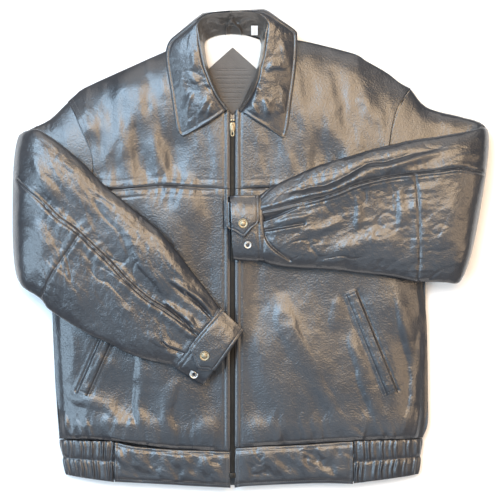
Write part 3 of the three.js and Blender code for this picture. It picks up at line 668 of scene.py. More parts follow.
def elasticSide(hemPath, topPath, sign):
    # a gathered band carried round the side: plan paths run from the front over the edge and under to the back,
    # ribs are rounded waves along it, pinched by two sewn lines
    n, m = 260, 30
    v = np.linspace(0, 1, m)[:, None, None]
    points = curvePoints(hemPath, n)[None] * (1 - v) + curvePoints(topPath, n)[None] * v
    run = np.linspace(0, 1, n)[None, :] + 0.004 * np.sin(np.linspace(0, 9, m))[:, None]
    t = np.linspace(0, 1, m)[:, None]
    row = smooth(0.46, 0.54, t)
    sway = 0.35 * np.sin(np.pi * (t * 2 % 1)) * noise(run * 900, t * 0 + run * 0, 40, 84)
    phase = run * (2.3 * band["ribs"]) + 0.42 * noise(run * 900, 90 * row + run * 0, 38, 81) + sway
    rib = np.sin(np.pi * phase) ** 2
    amount = band["ribHeight"] * (0.62 + 0.5 * noise(run * 900, 70 * row + 0 * run, 27, 82))
    swell = 1 - np.abs(2 * (t * 2 % 1) - 1) ** 4
    sewn = np.exp(-((t - 0.5) / 0.035) ** 2)
    push = 1.25 * amount * rib * (0.35 + 0.65 * swell) * (1 - 0.5 * sewn) + 0.7 * swell - 0.5 * sewn
    along = np.gradient(points, axis=1)
    up = np.gradient(points, axis=0)
    normal = np.cross(along, up) * sign
    normal /= np.linalg.norm(normal, axis=2, keepdims=True) + 1e-9
    points = points + normal * push[..., None]
    points[..., 2] = np.maximum(points[..., 2], 0.4)   # lies on the table
    return points


def sidePath(front, edge, out, y0, y1, level):
    # front level at the inner end, round the edge, then flat under the back
    xs = np.linspace(front, edge, 7)[:-1]
    ys = np.interp(xs, sorted((front, edge)), (y0, y1) if front < edge else (y1, y0))
    over = np.column_stack([xs, ys, frontBase(xs, ys) - 3.0 + level])
    turn = np.array([[edge - out, y1, 13.0], [edge + out, y1, 9.5], [edge - out * 4, y1, 5.5],
                     [edge - out * 14, y1, 2.6]])
    under = np.column_stack([np.linspace(edge - out * 30, front, 5), np.linspace(y1, y0, 5), np.full(5, 1.4)])
    return np.vstack([over, turn, under])


elasticPaths = {"right": (sidePath(-208, -280, -1, -350, -341, -0.6), sidePath(-208, -290, -1, -289, -288, -0.6)),
                "left": (sidePath(152, 249, 1, -352, -340, -0.6), sidePath(152, 255, 1, -288.5, -286, -0.6))}
for side, (hemPath, topPath) in elasticPaths.items():
    grid = elasticSide(hemPath, topPath, -1 if side == "right" else 1)
    skin = gridMesh(f"{side}_elastic_side", grid, flip=(side == "right"))
    leatherSheet(skin, 0.0016)
    finishPiece(skin, "torso", leather, [f"{side}_waistband_side"])
print("waistband ready")

# back: almost flat on the table, rising to the side seams


def backLevel(x, y):
    # the underside rests on the table and turns up over the last 25 mm before the side and shoulder seams
    d = np.full(x.shape, 1e9)
    for path in (rightPinch, leftPinch, rightPinchTop, leftPinchTop, [(-80, 320), (-30, 327), (19, 322)]):
        d = np.minimum(d, np.abs(nearPath(x, y, path, 30)[0]))
    return 0.3 + 12.2 * (1 - np.clip(d / 34, 0, 1)) ** 2.2 + 0.35 * (1 + noise(x, y, 60, 91)) * smooth(30, 60, d)


def backPanel(name, bottom, top, left, right, rows, cols):
    plan = patchPlan(bottom, top, left, right, rows, cols)
    x, y = plan[..., 0], plan[..., 1]
    return gridMesh(name, np.dstack([x, y, backLevel(x, y)]), flip=True)


backMain = backPanel("back_skin", [(-292, -286), (-18, -296), (257, -285)], [(-239, 94), (-18, 94), (204, 94)],
                     [(-292, -286), (-297, -215), (-302, -92), (-295, 12), (-272, 48), (-239, 94)],
                     [(257, -285), (265, -217), (262, -97), (258, 26), (236, 52), (204, 94)], 90, 110)
backYoke = backPanel("back_yoke_skin", [(-239, 95), (-18, 95), (204, 95)],
                     rightShoulder + [(-30, 327)] + leftShoulder[::-1], [(-239, 95)] + rightArm[4:],
                     [(204, 95)] + leftArm[4:], 60, 110)
backBand = backPanel("back_waistband_skin", [(-215, -350), (-18, -358), (170, -352)],
                     [(-215, -288), (-18, -297), (170, -288)], [(-215, -350), (-215, -288)],
                     [(170, -352), (170, -288)], 20, 100)
for skin, nodes in ((backMain, ["back_panel"]), (backYoke, ["back_yoke"]), (backBand, ["waistband_back"])):
    leatherSheet(skin, 0.0018)
    finishPiece(skin, "torso", leather, nodes)
print("back ready")


# Each row is a line across the flattened sleeve, from its upper edge to its lower edge:
# upper x, y, lower x, y, level, turn of the outer face in quarter circles, half thickness, bow towards the body
sleeveLines = {
    "right": {
        "low": [(-278.5, 221, -294, 14, 16, 0, 12.0, 46), (-292, 209, -302, -4, 16, 0, 12.6, 24),
                (-308, 195, -316, -22, 16, 0, 12.6, 6), (-331, 184, -332, -40, 21, 0.5, 12.4, 0),
                (-347, 173, -348, -50, 33, 1.0, 12.0, 0)],
        "high": [(-347, 173, -348, -50, 33, 1.0, 12.0, 0), (-336, 177, -338, -60, 45, 1.5, 12.6, 0),
                 (-313, 176, -316, -74, 49.5, 2, 13.4, 0), (-262, 137, -303, -90, 49.5, 2, 13.6, 0),
                 (-213, 88, -284, -104, 49.0, 2, 13.4, 0), (-171, 53, -246, -125, 48.8, 2, 13.0, 0),
                 (-142, 29, -212, -141, 48.6, 2, 12.6, 0), (-115, -2, -180, -157, 48.4, 2, 12.0, 0),
                 (-92, -30, -153, -167, 48.2, 2, 11.6, 0), (-68, -62, -130, -172, 48, 2, 10.8, 0),
                 (-49, -89, -114, -177, 48, 2, 9.0, 0)],
        "cuff": [(-50, -86, -116, -174, 48, 2, 8.6, 0), (-46, -90, -113, -179.5, 48, 2, 10.4, 0),
                 (-30, -105, -94, -190, 48, 2, 10.8, 0), (-14, -120, -74, -203, 48, 2, 10.2, 0)],
        "elbow": (-264.5, 7.0), "along": (0.855, -0.518), "fold": 1},
    "left": {
        "low": [(238.5, 241, 257, 27, 16, 0, 12.0, -42), (259, 217, 268, 12, 16, 0, 12.6, -20),
                (288, 205, 283, 0, 16, 0, 12.6, -4), (334, 192, 300, -24, 21, 0.5, 12.4, 0),
                (350, 181, 312, -44, 33, 1.0, 12.0, 0)],
        "high": [(350, 181, 312, -44, 33, 1.0, 12.0, 0), (341, 181, 304, -52, 45, 1.5, 12.6, 0),
                 (314, 174, 288, -51, 49.5, 2, 13.4, 0), (279, 167, 268, -50, 49.5, 2, 13.6, 0),
                 (241, 161, 246, -49, 49.2, 2, 13.4, 0), (206, 153, 211, -41, 49.0, 2, 13.0, 0),
                 (165, 143, 166, -37, 48.8, 2, 12.6, 0), (116, 130, 116, -31, 48.4, 2, 12.0, 0),
                 (68, 113, 68, -28.5, 48.2, 2, 11.4, 0), (32, 96, 34, -23, 48, 2, 10.6, 0),
                 (11, 81, 17, -18, 48, 2, 9.0, 0)],
        "cuff": [(15, 79, 20, -17, 48, 2, 8.6, 0), (10, 80, 15.5, -18, 48, 2, 10.4, 0),
                 (-14, 80, -8, -18, 48, 2, 10.8, 0), (-34, 79, -28.5, -16, 48, 2, 10.2, 0)],
        "elbow": (245.0, 56.5), "along": (-1.0, -0.02), "fold": -1},
}

# plan curves of the seams and folds on the visible face of each sleeve
sleeveMarks = {
    "right": {
        "double": [(-350, 104), (-335, 88), (-318, 74), (-290, 46), (-264, 27), (-233, -2), (-211, -23), (-187, -49),
                   (-156, -76), (-130, -92), (-97, -116), (-80, -129)],
        "elbow": [(-258, 21), (-273, -2), (-297, -37), (-316, -74)],
        "folds": [([(-345, 146), (-330, 128), (-312, 92), (-283, 58)], 12, 3.0, 0.5),
                  ([(-335, 172), (-300, 150), (-268, 118), (-230, 88)], 17, 2.6, 0.3),
                  ([(-300, 30), (-280, -20), (-262, -60), (-250, -100)], 15, 2.0, -0.3),
                  ([(-345, 40), (-325, 20), (-310, -20)], 13, 2.0, 0.3),
                  ([(-214, 44), (-186, 2), (-155, -45), (-124, -87)], 13, 2.6, 0.5),
                  ([(-252, -44), (-215, -76), (-175, -114)], 12, 1.8, 0.4),
                  ([(-160, 30), (-135, 0), (-112, -40), (-95, -66)], 12, 2.2, 0.4),
                  ([(-170, -130), (-146, -140), (-118, -148)], 9, 1.6, 0.4),
                  ([(-131, -46), (-100, -66), (-78, -83), (-58, -104)], 5, 3.0, 0.9),
                  ([(-140, -78), (-110, -100), (-80, -128)], 6, 3.0, 0.8),
                  ([(-138, -138), (-122, -148), (-99, -156)], 5, 2.4, 0.8)],
        "slits": [([(-98, -66), (-78, -83), (-58, -106)], 3.4), ([(-127, -85), (-103, -107), (-80, -130)], 2.6),
                  ([(-134, -139), (-122, -148), (-99, -156)], 3.0)],
        "cuffSeam": [(-47, -89), (-62, -103), (-80, -126), (-93, -143), (-101, -155), (-114, -178)]},
    "left": {
        "double": [(350, 110), (311, 119), (279, 116), (241, 112), (197, 106), (157, 96), (116, 80), (44, 62),
                   (12, 55)],
        "elbow": [(241, 110), (245, 74), (248, -2), (247, -32), (245, -51)],
        "folds": [([(300, 154), (230, 137), (165, 119), (116, 97), (60, 84), (22, 73)], 8, 5.2, 0.8),
                  ([(212, 98), (215, 60), (211, 20)], 7, 1.8, 0.5),
                  ([(340, 150), (300, 140), (262, 128)], 11, 2.2, 0.3),
                  ([(330, 80), (300, 60), (276, 20), (270, -20)], 15, 2.2, 0.3),
                  ([(320, 20), (305, -10), (300, -40)], 12, 1.8, 0.3), ([(149, 84), (153, 52), (150, 22)], 7, 2.0, 0.5),
                  ([(236, 10), (190, 4), (150, -2), (110, -8)], 14, 2.2, -0.3),
                  ([(140, 46), (100, 36), (60, 30)], 8, 1.8, 0.4), ([(110, 84), (60, 70), (10, 57)], 5.5, 2.2, -0.4),
                  ([(92, 56), (56, 48), (30, 38)], 5, 1.8, 0.6), ([(80, 40), (44, 32), (13, 27)], 5, 1.8, 0.7),
                  ([(55, -16), (30, 2), (17, 24)], 5, 1.4, 0.6)],
        "slits": [([(76, 38), (44, 32), (11, 27)], 2.0), ([(16, 25), (28, 5), (56, -17)], 1.8)],
        "cuffSeam": [(10, 80), (11, 42), (13, 25), (16, -18)]},
}


def tubeGrid(rows, along, outerCount, innerCount, shrink=0.0, fold=1):
    # lines across the sleeve blended smoothly along it, each opened into a flattened ring: the face stands
    # off its line by half the thickness times (1 - |2t - 1|^3)^0.55
    q = curvePoints(np.asarray(rows, float)[:, :8], along)
    even = np.linspace(0, 1, outerCount)
    tOut = 0.6 * even + 0.4 * (1 - np.cos(np.pi * even)) / 2
    tIn = ((1 - np.cos(np.linspace(0, np.pi, innerCount))) / 2)[::-1][1:-1]
    t = np.concatenate([tOut, tIn])[None, :]
    face = np.concatenate([np.ones(outerCount), -np.ones(innerCount - 2)])[None, :]
    inset = t + (0.5 - t) * 2 * shrink / 190
    x = q[:, 0:1] * (1 - inset) + q[:, 2:3] * inset + q[:, 7:8] * (1 - (2 * t - 1) ** 2)
    y = q[:, 1:2] * (1 - inset) + q[:, 3:4] * inset
    angle = q[:, 5:6] * np.pi / 2
    reach = (q[:, 6:7] - shrink) * (1 - np.abs(2 * t - 1) ** 3) ** 0.55 * face
    points = np.dstack([x - np.sin(angle) * fold * reach, y, q[:, 4:5] - np.cos(angle) * reach])
    run = np.concatenate([[0], np.cumsum(np.linalg.norm(np.diff((q[:, :2] + q[:, 2:4]) / 2, axis=0), axis=1)
                                          + np.abs(np.diff(q[:, 4])))])
    width = np.hypot(q[:, 0] - q[:, 2], q[:, 1] - q[:, 3])
    return points, run[:, None] + 0 * t, t * width[:, None], face + 0 * run[:, None]


def ringNormals(points, outward=1.0):
    around = np.roll(points, -1, axis=1) - np.roll(points, 1, axis=1)
    along = np.gradient(points, axis=0)
    n = np.cross(around, along)
    n /= np.linalg.norm(n, axis=2, keepdims=True) + 1e-9
    centre = points.mean(axis=1, keepdims=True)
    facing = np.sign(np.sum(n * (points - centre), axis=(1, 2), keepdims=True))
    return n * facing * outward


def sleeveRelief(side, layer, points, run, across, face, normals):
    x, y = points[..., 0], points[..., 1]
    marks = sleeveMarks[side]
    seed = 100 if side == "right" else 140
    z = 2.6 * puffs(run * 0.55, across * 0.9, 58, seed + 1) + 0.8 * puffs(run * 0.7, across, 24, seed + 2)
    fineCrease = 0.12 if side == "right" else 0.34
    z += 0.7 * creases(run * 0.6, across, 26, seed + 3, 0.12) + fineCrease * creases(run, across, 13, seed + 5, 0.16)
    z += 0.18 * noise(run, across, 5, seed + 4)
    if layer == "low":
        return z * smooth(-4, 25, run)
    up = smooth(0.15, 0.6, normals[..., 2]) * smooth(0, 1, face * 2)
    z = z * (0.55 + 0.45 * smooth(20, 120, run))
    for path, depth, swell in ((marks["double"], 1.5, 1.0), (marks["elbow"], 1.3, 0.5)):
        d, _ = nearPath(x, y, path, 80)
        z += up * (-depth * np.exp(-(d / 1.5) ** 2) + swell * np.exp(-((np.abs(d) - 6) / 5) ** 2))
        if swell > 0.8:
            z += up * (0.9 * np.exp(-((d - 2.5) / 2.2) ** 2) - 0.5 * np.exp(-((d - 6.2) / 1.2) ** 2))
        z += up * pucker(x, y, path, 12, 7.5, 0.8, seed + 7)
    for path, width, height, lean in marks["folds"]:
        z += up * fold(x, y, path, width, height, lean)
    if side == "right":
        # the face above the long seam slopes down to it from the rolled upper edge
        d, t = nearPath(x, y, marks["double"], 80)
        z += up * (6.2 * smooth(4, 66, d) - 4.2) * smooth(-2, 6, d) * smooth(0.02, 0.2, t) * smooth(0, 0.12, 1 - t)
    d, _ = nearPath(x, y, marks["cuffSeam"])
    z += up * pucker(x, y, marks["cuffSeam"], 14, 12, 0.9 if side == "right" else 0.6, seed + 9)
    for path, depth in marks["slits"]:
        z += up * groove(x, y, path, 1.8, depth)
    if side == "left":
        # the vent stands open below the placket: a wedge that narrows away from the cuff
        d, t = nearPath(x, y, [(8, 52), (40, 57), (76, 66)])
        gape = 13.5 * (1 - t) + 0.5
        z += -7.0 * smooth(0, 1.8, -d) * (1 - smooth(gape - 3, gape + 0.5, -d)) * (1 - smooth(0.8, 1.0, t))
    edge = smooth(0, 10, np.abs(d))
    return z * (0.25 + 0.75 * edge)


def elbowBlend(side):
    # two ends, 46 mm apart across the elbow's fold, given with the torso and the forearm
    (ex, ey), (ax, ay) = sleeveLines[side]["elbow"], sleeveLines[side]["along"]
    start, end = (tuple(metres([[ex + reach * ax, ey + reach * ay, 62.5]])[0]) for reach in (-20, 26))
    return "torso", f"{side}_forearm", start, end


sleeveSkins = {}
for side in ("right", "left"):
    lines = sleeveLines[side]
    turned = lines["fold"]
    bends = elbowBlend(side)
    for layer, along, outer, inner in (("low", 70, 110, 30), ("high", 205, 170, 26)):
        points, run, across, face = tubeGrid(lines[layer], along, outer, inner, fold=turned)
        normals = ringNormals(points)
        push = sleeveRelief(side, layer, points, run, across, face, normals)
        hold = smooth(0, 14, run) if layer == "high" else smooth(0, 14, run[-1:] - run)
        points = points + normals * (push * hold)[..., None]
        skin = gridMesh(f"{side}_sleeve_{layer}_skin", points, ring=True, flip=(turned < 0))
        leatherSheet(skin, 0.0015)
        if layer == "low":
            finishPiece(skin, "torso", leather, [f"{side}_sleeve_inner"])
        else:
            finishPiece(skin, bends, leather,
                        [f"{side}_sleeve_outer", f"{side}_forearm_top", f"{side}_forearm_outer",
                         f"{side}_forearm_inner"])
        sleeveSkins[side, layer] = skin
    # linings, a little inside the leather
    for name, rows, body, replaced in (("low_lining", lines["low"], "torso", [f"{side}_sleeve_lining"]),
                                       ("high_lining", lines["high"][:4], "torso", []),
                                       ("forearm_lining_tube", lines["high"][4:], f"{side}_forearm",
                                        [f"{side}_forearm_lining"])):
        points, run, across, face = tubeGrid(rows, 40, 30, 24, shrink=4.2 if name == "low_lining" else 8.0, fold=turned)
        points = points + ringNormals(points) * (0.3 * puffs(run, across, 30, 171) - 0.1)[..., None]
        tube = gridMesh(f"{side}_{name}", points, ring=True, flip=(turned < 0))
        withModifier(tube, "SOLIDIFY", thickness=0.0006, offset=-1.0)
        finishPiece(applyAll(tube), body, satin, replaced)
    # cuff
    points, run, across, face = tubeGrid(lines["cuff"], 44, 90, 60, fold=turned)
    normals = ringNormals(points)
    push = 0.5 * puffs(run, across, 18, 190) + 0.12 * noise(run, across, 4, 191)
    for place in (9.0, 51.0):
        push = push - 0.7 * np.exp(-((run - place) / 1.4) ** 2)
    cuff = gridMesh(f"{side}_cuff_skin", points + normals * push[..., None], ring=True, flip=(turned < 0))
    leatherSheet(cuff, 0.0028)
    finishPiece(cuff, f"{side}_forearm", leather, [f"{side}_cuff"])
    sleeveSkins[side, "cuff"] = cuff
print("sleeves ready")


tabShapes = {
    "right": {"root": [(-47, -89), (-14, -120.5)], "snap": (-71, -158), "spare": (-87, -186), "spareRadius": 6.9,
              "thick": 3.0,
              "tip": [(-93, -145), (-87.5, -160), (-82.5, -174), (-80, -177.3), (-76, -178.2), (-66, -178.8),
                      (-56, -179)]},
    "left": {"root": [(-40, 79), (10, 79.5)], "snap": (-14, 38), "spare": (-7, 6), "spareRadius": 5.9, "thick": 3.0,
             "tip": [(-40, 34), (-27, 25.4), (-15.5, 17.6), (-13, 16.6), (-10.8, 18.2), (-1, 29.4), (10, 41)]},
}


def lathe(name, profile, centre, sides=36):
    # a profile of radius and height turned round a vertical axis; a first radius of zero is closed by a fan
    r, h = np.asarray(profile, float).T
    a = np.linspace(0, 2 * np.pi, sides, endpoint=False)[None, :]
    points = np.dstack([centre[0] + r[:, None] * np.cos(a), centre[1] + r[:, None] * np.sin(a),
                        centre[2] + h[:, None] + 0 * a])
    obj = gridMesh(name, points, ring=True)
    bm = bmesh.new()
    bm.from_mesh(obj.data)
    bmesh.ops.remove_doubles(bm, verts=bm.verts, dist=1e-6)
    bmesh.ops.recalc_face_normals(bm, faces=bm.faces)
    bm.to_mesh(obj.data)
    bm.free()
    return obj


def rounded(points, radius=0.4, count=4):
    # the profile's corners cut by short arcs
    p = [np.asarray(q, float) for q in points]
    out = [p[0]]
    for a, b, c in zip(p[:-2], p[1:-1], p[2:]):
        la, lc = np.linalg.norm(a - b), np.linalg.norm(c - b)
        k = min(radius, la / 2.2, lc / 2.2)
        s, e = b + (a - b) / la * k, b + (c - b) / lc * k
        for t in np.linspace(0, 1, count):
            out.append((1 - t) ** 2 * s + 2 * t * (1 - t) * b + t * t * e)
    out.append(p[-1])
    return np.array(out)


for side, shape in tabShapes.items():
    find = topFinder(sleeveSkins[side, "cuff"], sleeveSkins[side, "high"])
    root, tip = shape["root"], shape["tip"]
    plan = patchPlan(root, tip, [root[0], tip[0]], [root[1], tip[-1]], 46, 40)
    flat = plan.reshape(-1, 2)
    spots, _, keep = find(flat)
    level = np.full(len(flat), 0.0)
    level[keep] = spots[:, 2] * 1000
    level = level.reshape(plan.shape[:2])
    # the leather bridges small dips under it, and rolls over the cuff's edge at the root
    for _ in range(30):
        around = np.pad(level, 1, mode="edge")
        level = np.maximum(level, (around[:-2, 1:-1] + around[2:, 1:-1] + around[1:-1, :-2] + around[1:-1, 2:]) / 4)
    v = np.linspace(0, 1, plan.shape[0])[:, None]
    level = np.where(level < 40, 50, level)
    z = level + 1.3 + shape["thick"] + 0.8 * np.sin(np.pi * v) + 0.5 * puffs(plan[..., 0], plan[..., 1], 22, 201)
    rim = [root[1]] + tip[::-1] + [root[0]]
    d = np.abs(nearPath(plan[..., 0], plan[..., 1], rim, 80)[0])
    z = z - 1.1 * (1 - smooth(0, 2.4, d)) - 0.8 * np.exp(-((d - 3.8) / 1.1) ** 2)
    tab = gridMesh(f"{side}_tab_skin", np.dstack([plan, z]), flip=(side == "left"))
    leatherSheet(tab, shape["thick"] * 0.001)
    body = f"{side}_cuff_tab"
    finishPiece(tab, body, leather, [body])
    runs = stitchRuns(topFinder(tab), [besidePath(rim, -3.4, 60)], 3.0)
    # snap cap: rolled rim, dished ring and a low dome
    (spot,), (_,), _ = topFinder(tab)(np.array([shape["snap"]]))
    centre = np.array([shape["snap"][0], shape["snap"][1], spot[2] * 1000 - 0.2])
    profile = rounded([(0, 0), (7.4, 0), (7.6, 1.2), (6.6, 2.1), (5.4, 1.5), (4.2, 1.5), (3.0, 2.3), (0, 2.7)], 0.7, 5)
    profile[-1, 0] = 0.0
    cap = lathe(f"{side}_snap_cap_dome", profile, centre)
    finishPiece(cap, body, antiqueBrass, [f"{side}_snap_cap"])
    (spot,), (_,), _ = topFinder(sleeveSkins[side, "cuff"], sleeveSkins[side, "high"])(np.array([shape["spare"]]))
    centre = np.array([shape["spare"][0], shape["spare"][1], spot[2] * 1000 - 0.1])
    wide = shape["spareRadius"]
    ringProfile = [(2.7, 0.0), (wide - 0.3, 0.0), (wide, 0.9), (wide - 1.0, 1.5), (wide - 2.3, 1.1), (3.5, 2.0),
                   (2.7, 2.0), (2.7, 0.0)]
    spare = lathe(f"{side}_spare_snap_ring", rounded(ringProfile, 0.4, 4), centre)
    finishPiece(spare, f"{side}_forearm", nickel, [f"{side}_spare_snap"])
    finishPiece(stitchMesh(f"{side}_tab_stitches", runs), body, threadWithPaintedHighlight)
print("tabs ready")

# collar: the stand rises from the neck seam to the roll, the fall turns over it and lies on the yokes
collarLines = {
    "right": {
        "neck": [(-40, 209, 30), (-52, 236, 28), (-63, 262, 26), (-70, 290, 22), (-71, 312, 19), (-56, 321, 18),
                 (-33, 324, 18)],
        "roll": [(-37, 209, 38), (-49, 224, 43.5), (-58, 240, 46), (-70, 270, 47.5), (-75, 290, 48), (-80, 318, 48),
                 (-81, 336, 48), (-66, 348, 48), (-33, 352, 48)],
        "front": [(-37, 209, 38), (-52, 198, 38.5), (-71, 186, 38), (-105, 168.5, 35)],
        "outer": [(-105, 168.5, 35), (-114, 184, 35), (-121, 227, 35), (-127, 262, 35.5), (-130, 285, 36),
                  (-129, 300, 36.5), (-123, 313, 37), (-108, 326, 38), (-80, 349, 38), (-68, 354.5, 35),
                  (-33, 355.5, 30)],
        "hinge": ((-59, 263.5, 46.5), (-42, 109))},
    "left": {
        "neck": [(-20, 209, 30), (-8, 236, 28), (4, 262, 26), (11, 290, 22), (13, 312, 19), (4, 321, 18),
                 (-33, 324, 18)],
        "roll": [(-19, 207, 38), (-4, 226, 43.5), (7, 253, 46.5), (11, 274, 47.5), (16, 291, 48), (19, 320, 48),
                 (21, 338, 48), (4, 351, 48), (-33, 352, 48)],
        "front": [(-19, 207, 38), (1, 194, 38.5), (21, 182, 38), (46, 166, 35)],
        "outer": [(46, 166, 35), (53, 184, 35), (58, 219, 35), (64, 262, 35.5), (66.5, 290, 36), (67, 317, 37),
                  (64, 327, 38), (42, 343, 38), (20, 358, 37), (2, 359, 34), (-33, 357, 30)],
        "hinge": ((0, 263.5, 46.5), (-38, -111))},
}
collarFolds = {
    "right": [([(-72, 246), (-62, 240), (-50, 236)], 3.5, 2.6, 0.9),
              ([(-100, 262), (-90, 250), (-80, 240)], 5, 1.8, 0.6),
              ([(-66, 232), (-76, 214), (-82, 196)], 7, 2.2, 0.5), ([(-84, 236), (-92, 214), (-96, 194)], 6, 1.6, -0.5),
              ([(-96, 300), (-92, 280), (-96, 262)], 8, 1.8, 0.4), ([(-60, 222), (-66, 208), (-68, 196)], 4, 1.6, 0.6)],
    "left": [([(12, 236), (4, 242), (-2, 250)], 3.5, 2.4, 0.9), ([(20, 262), (34, 270), (52, 268)], 6, 2.0, 0.6),
             ([(12, 226), (18, 210), (20, 194)], 6, 2.4, 0.5), ([(40, 250), (44, 226), (42, 200)], 8, 2.0, 0.4),
             ([(36, 310), (46, 290), (50, 262)], 8, 2.2, 0.4), ([(2, 220), (8, 208), (12, 198)], 4, 1.6, -0.6)]}


def collarFall(side):
    # front, outer and roll curves and the centre-back seam blended into one patch, swelling over the roll
    line = collarLines[side]
    rows, cols = 120, 46
    back = [line["roll"][-1], line["outer"][-1]]
    plan = patchPlan(line["front"], back, line["roll"], line["outer"], rows, cols)
    u = np.linspace(0, 1, cols)[None, :]
    v = np.linspace(0, 1, rows)[:, None]
    x, y, z = plan[..., 0], plan[..., 1], plan[..., 2]
    z = z + 1.6 * np.sin(np.pi * u) - 3.4 * (1 - np.clip(u / 0.10, 0, 1)) ** 2
    relief = 1.3 * puffs(x, y * 0.7, 34, 301) + 0.5 * creases(x, y * 0.7, 17, 302, 0.14) + 0.16 * noise(x, y, 5, 303)
    for path, width, height, lean in collarFolds[side]:
        relief += fold(x, y, path, width, height, lean)
    edge = [p[:2] for p in line["front"][:-1]] + [p[:2] for p in line["outer"]]
    d = np.abs(nearPath(x, y, edge, 90)[0])
    calm = smooth(0, 12, d)
    z = z + relief * (0.2 + 0.8 * calm) * smooth(0, 0.15, u) * (1 - 0.7 * smooth(0.8, 1, v))
    z = z + 0.9 * np.exp(-((d - 2.2) / 2.2) ** 2) - 0.8 * np.exp(-((d - 5.0) / 1.1) ** 2)
    return gridMesh(f"{side}_collar_fall", np.dstack([x, y, z]), flip=(side == "right")), edge


def collarStand(side):
    line = collarLines[side]
    rows, cols = 40, 150
    low, high = curvePoints(line["neck"], cols)[None], curvePoints(line["roll"], cols)[None]
    v = np.linspace(0, 1, rows)[:, None, None]
    points = low * (1 - v) + high * v
    x, y = points[..., 0], points[..., 1]
    t = v[..., 0]
    run = np.linspace(0, 220, cols)[None, :]
    ripple = (1.9 * noise(run * 0.5 + 14 * t, 34 * t, 9, 311) + 1.0 * puffs(run, 60 * t, 12, 312)) * np.sin(np.pi * t)
    points[..., 2] += ripple + 1.2 * np.sin(np.pi * t)
    return gridMesh(f"{side}_collar_stand", points, flip=(side == "left"))


collarPieces = {}
for side in ("right", "left"):
    fall, edge = collarFall(side)
    leatherSheet(fall, 0.0036, 0.0014)
    pivot, direction = collarLines[side]["hinge"]
    direction = np.array(direction, float) / np.hypot(*direction) * (1 if side == "right" else -1)
    near = metres([[pivot[0] + 125 * direction[0], pivot[1] + 125 * direction[1], 46.5],
                   [pivot[0] + 85 * direction[0], pivot[1] + 85 * direction[1], 46.5]])
    leafBlend = ("torso", f"{side}_collar_leaf", tuple(near[0]), tuple(near[1]))
    finishPiece(fall, leafBlend, leather,
                [f"{side}_collar_leaf"] + (["collar_back_fall"] if side == "left" else []))
    stand = collarStand(side)
    leatherSheet(stand, 0.0022)
    # the stand's leather is painted lighter: painted sheen
    finishPiece(stand, "torso", paintedSheenLeather, ["collar_band"] if side == "left" else [])
    sewn = stitchRuns(topFinder(fall), [besidePath(edge, 5.0 if side == "left" else -5.0, 160)], 2.8)
    finishPiece(stitchMesh(f"{side}_collar_stitches", sewn, 2.0, 0.26), leafBlend, threadWithPaintedHighlight)
    collarPieces[side] = fall
print("collar ready")

# inside of the neck: satin back lining, leather locker patch, label and hanger loop
locker = {"corners": {"top": (-30, 304), "left": (28, 253), "bottom": (-30, 203), "right": (-88, 253)},
          "lift": 3.0, "pressDepth": 0.6, "pressWidth": 0.8,
          "pressedLines": [(272, 24), (269, 27), (262, 30), (257, 26), (250, 30), (243, 20), (236, 16), (229, 20),
                           (225, 16), (221, 12)]}


def liningLevel(x, y):
    d = np.full(x.shape, 1e9)
    for path in (rightPinch, leftPinch, rightPinchTop, leftPinchTop):
        d = np.minimum(d, np.abs(nearPath(x, y, path, 30)[0]))
    rise = 12.5 * smooth(225, 330, y) * np.exp(-((x + 30) / 95) ** 4)
    return 3.2 + np.maximum(rise, 9.6 * (1 - np.clip(d / 60, 0, 1)) ** 2.2)


plan = patchPlan([(-280, -280), (-18, -290), (246, -280)],
                 [(-262, 226), (-240, 240), (-129, 290), (-84, 304), (-70, 316), (-33, 326), (10, 316), (24, 306),
                  (149, 286), (203, 256), (226, 234)],
                 [(-280, -280), (-288, -145), (-286, 8), (-232, 98), (-262, 226)],
                 [(246, -280), (252, -145), (248, 20), (198, 98), (226, 234)], 150, 140)
x, y = plan[..., 0], plan[..., 1]
soft = 0.9 * puffs(x, y, 46, 321) + 0.4 * creases(x, y, 25, 322)
backLining = gridMesh("back_lining_satin", np.dstack([x, y, liningLevel(x, y) + 0.7 * soft + 0.5]))
withModifier(backLining, "SOLIDIFY", thickness=0.0006, offset=-1.0)
finishPiece(applyAll(backLining), "torso", satin, ["back_lining"])
for side, bottom, top, edge in (
        ("right", [(-284, -280), (-160, -290), (-42, -297)], [(-262, 224), (-129, 288), (-76, 268), (-42, 206)],
         [(-284, -280), (-288, -145), (-286, 8), (-232, 98), (-262, 224)]),
        ("left", [(-18, -292), (110, -285), (250, -280)], [(-18, 206), (14, 266), (60, 296), (149, 284), (228, 236)],
         [(250, -280), (256, -145), (250, 20), (198, 98), (228, 236)])):
    inner = [(-42, -297), (-42, 206)] if side == "right" else [(-18, -292), (-18, 206)]
    leftRight = (edge, inner) if side == "right" else (inner, edge)
    plan = patchPlan(bottom, top, *leftRight, 120, 60)
    x, y = plan[..., 0], plan[..., 1]
    level = np.minimum(frontBase(x, y) - 6.5, 22.5) + 0.6 * noise(x, y, 30, 331)
    lining = gridMesh(f"{side}_front_lining_satin", np.dstack([x, y, level]))
    withModifier(lining, "SOLIDIFY", thickness=0.0006, offset=-1.0)
    finishPiece(applyAll(lining), "torso", satin, [f"{side}_front_lining"])

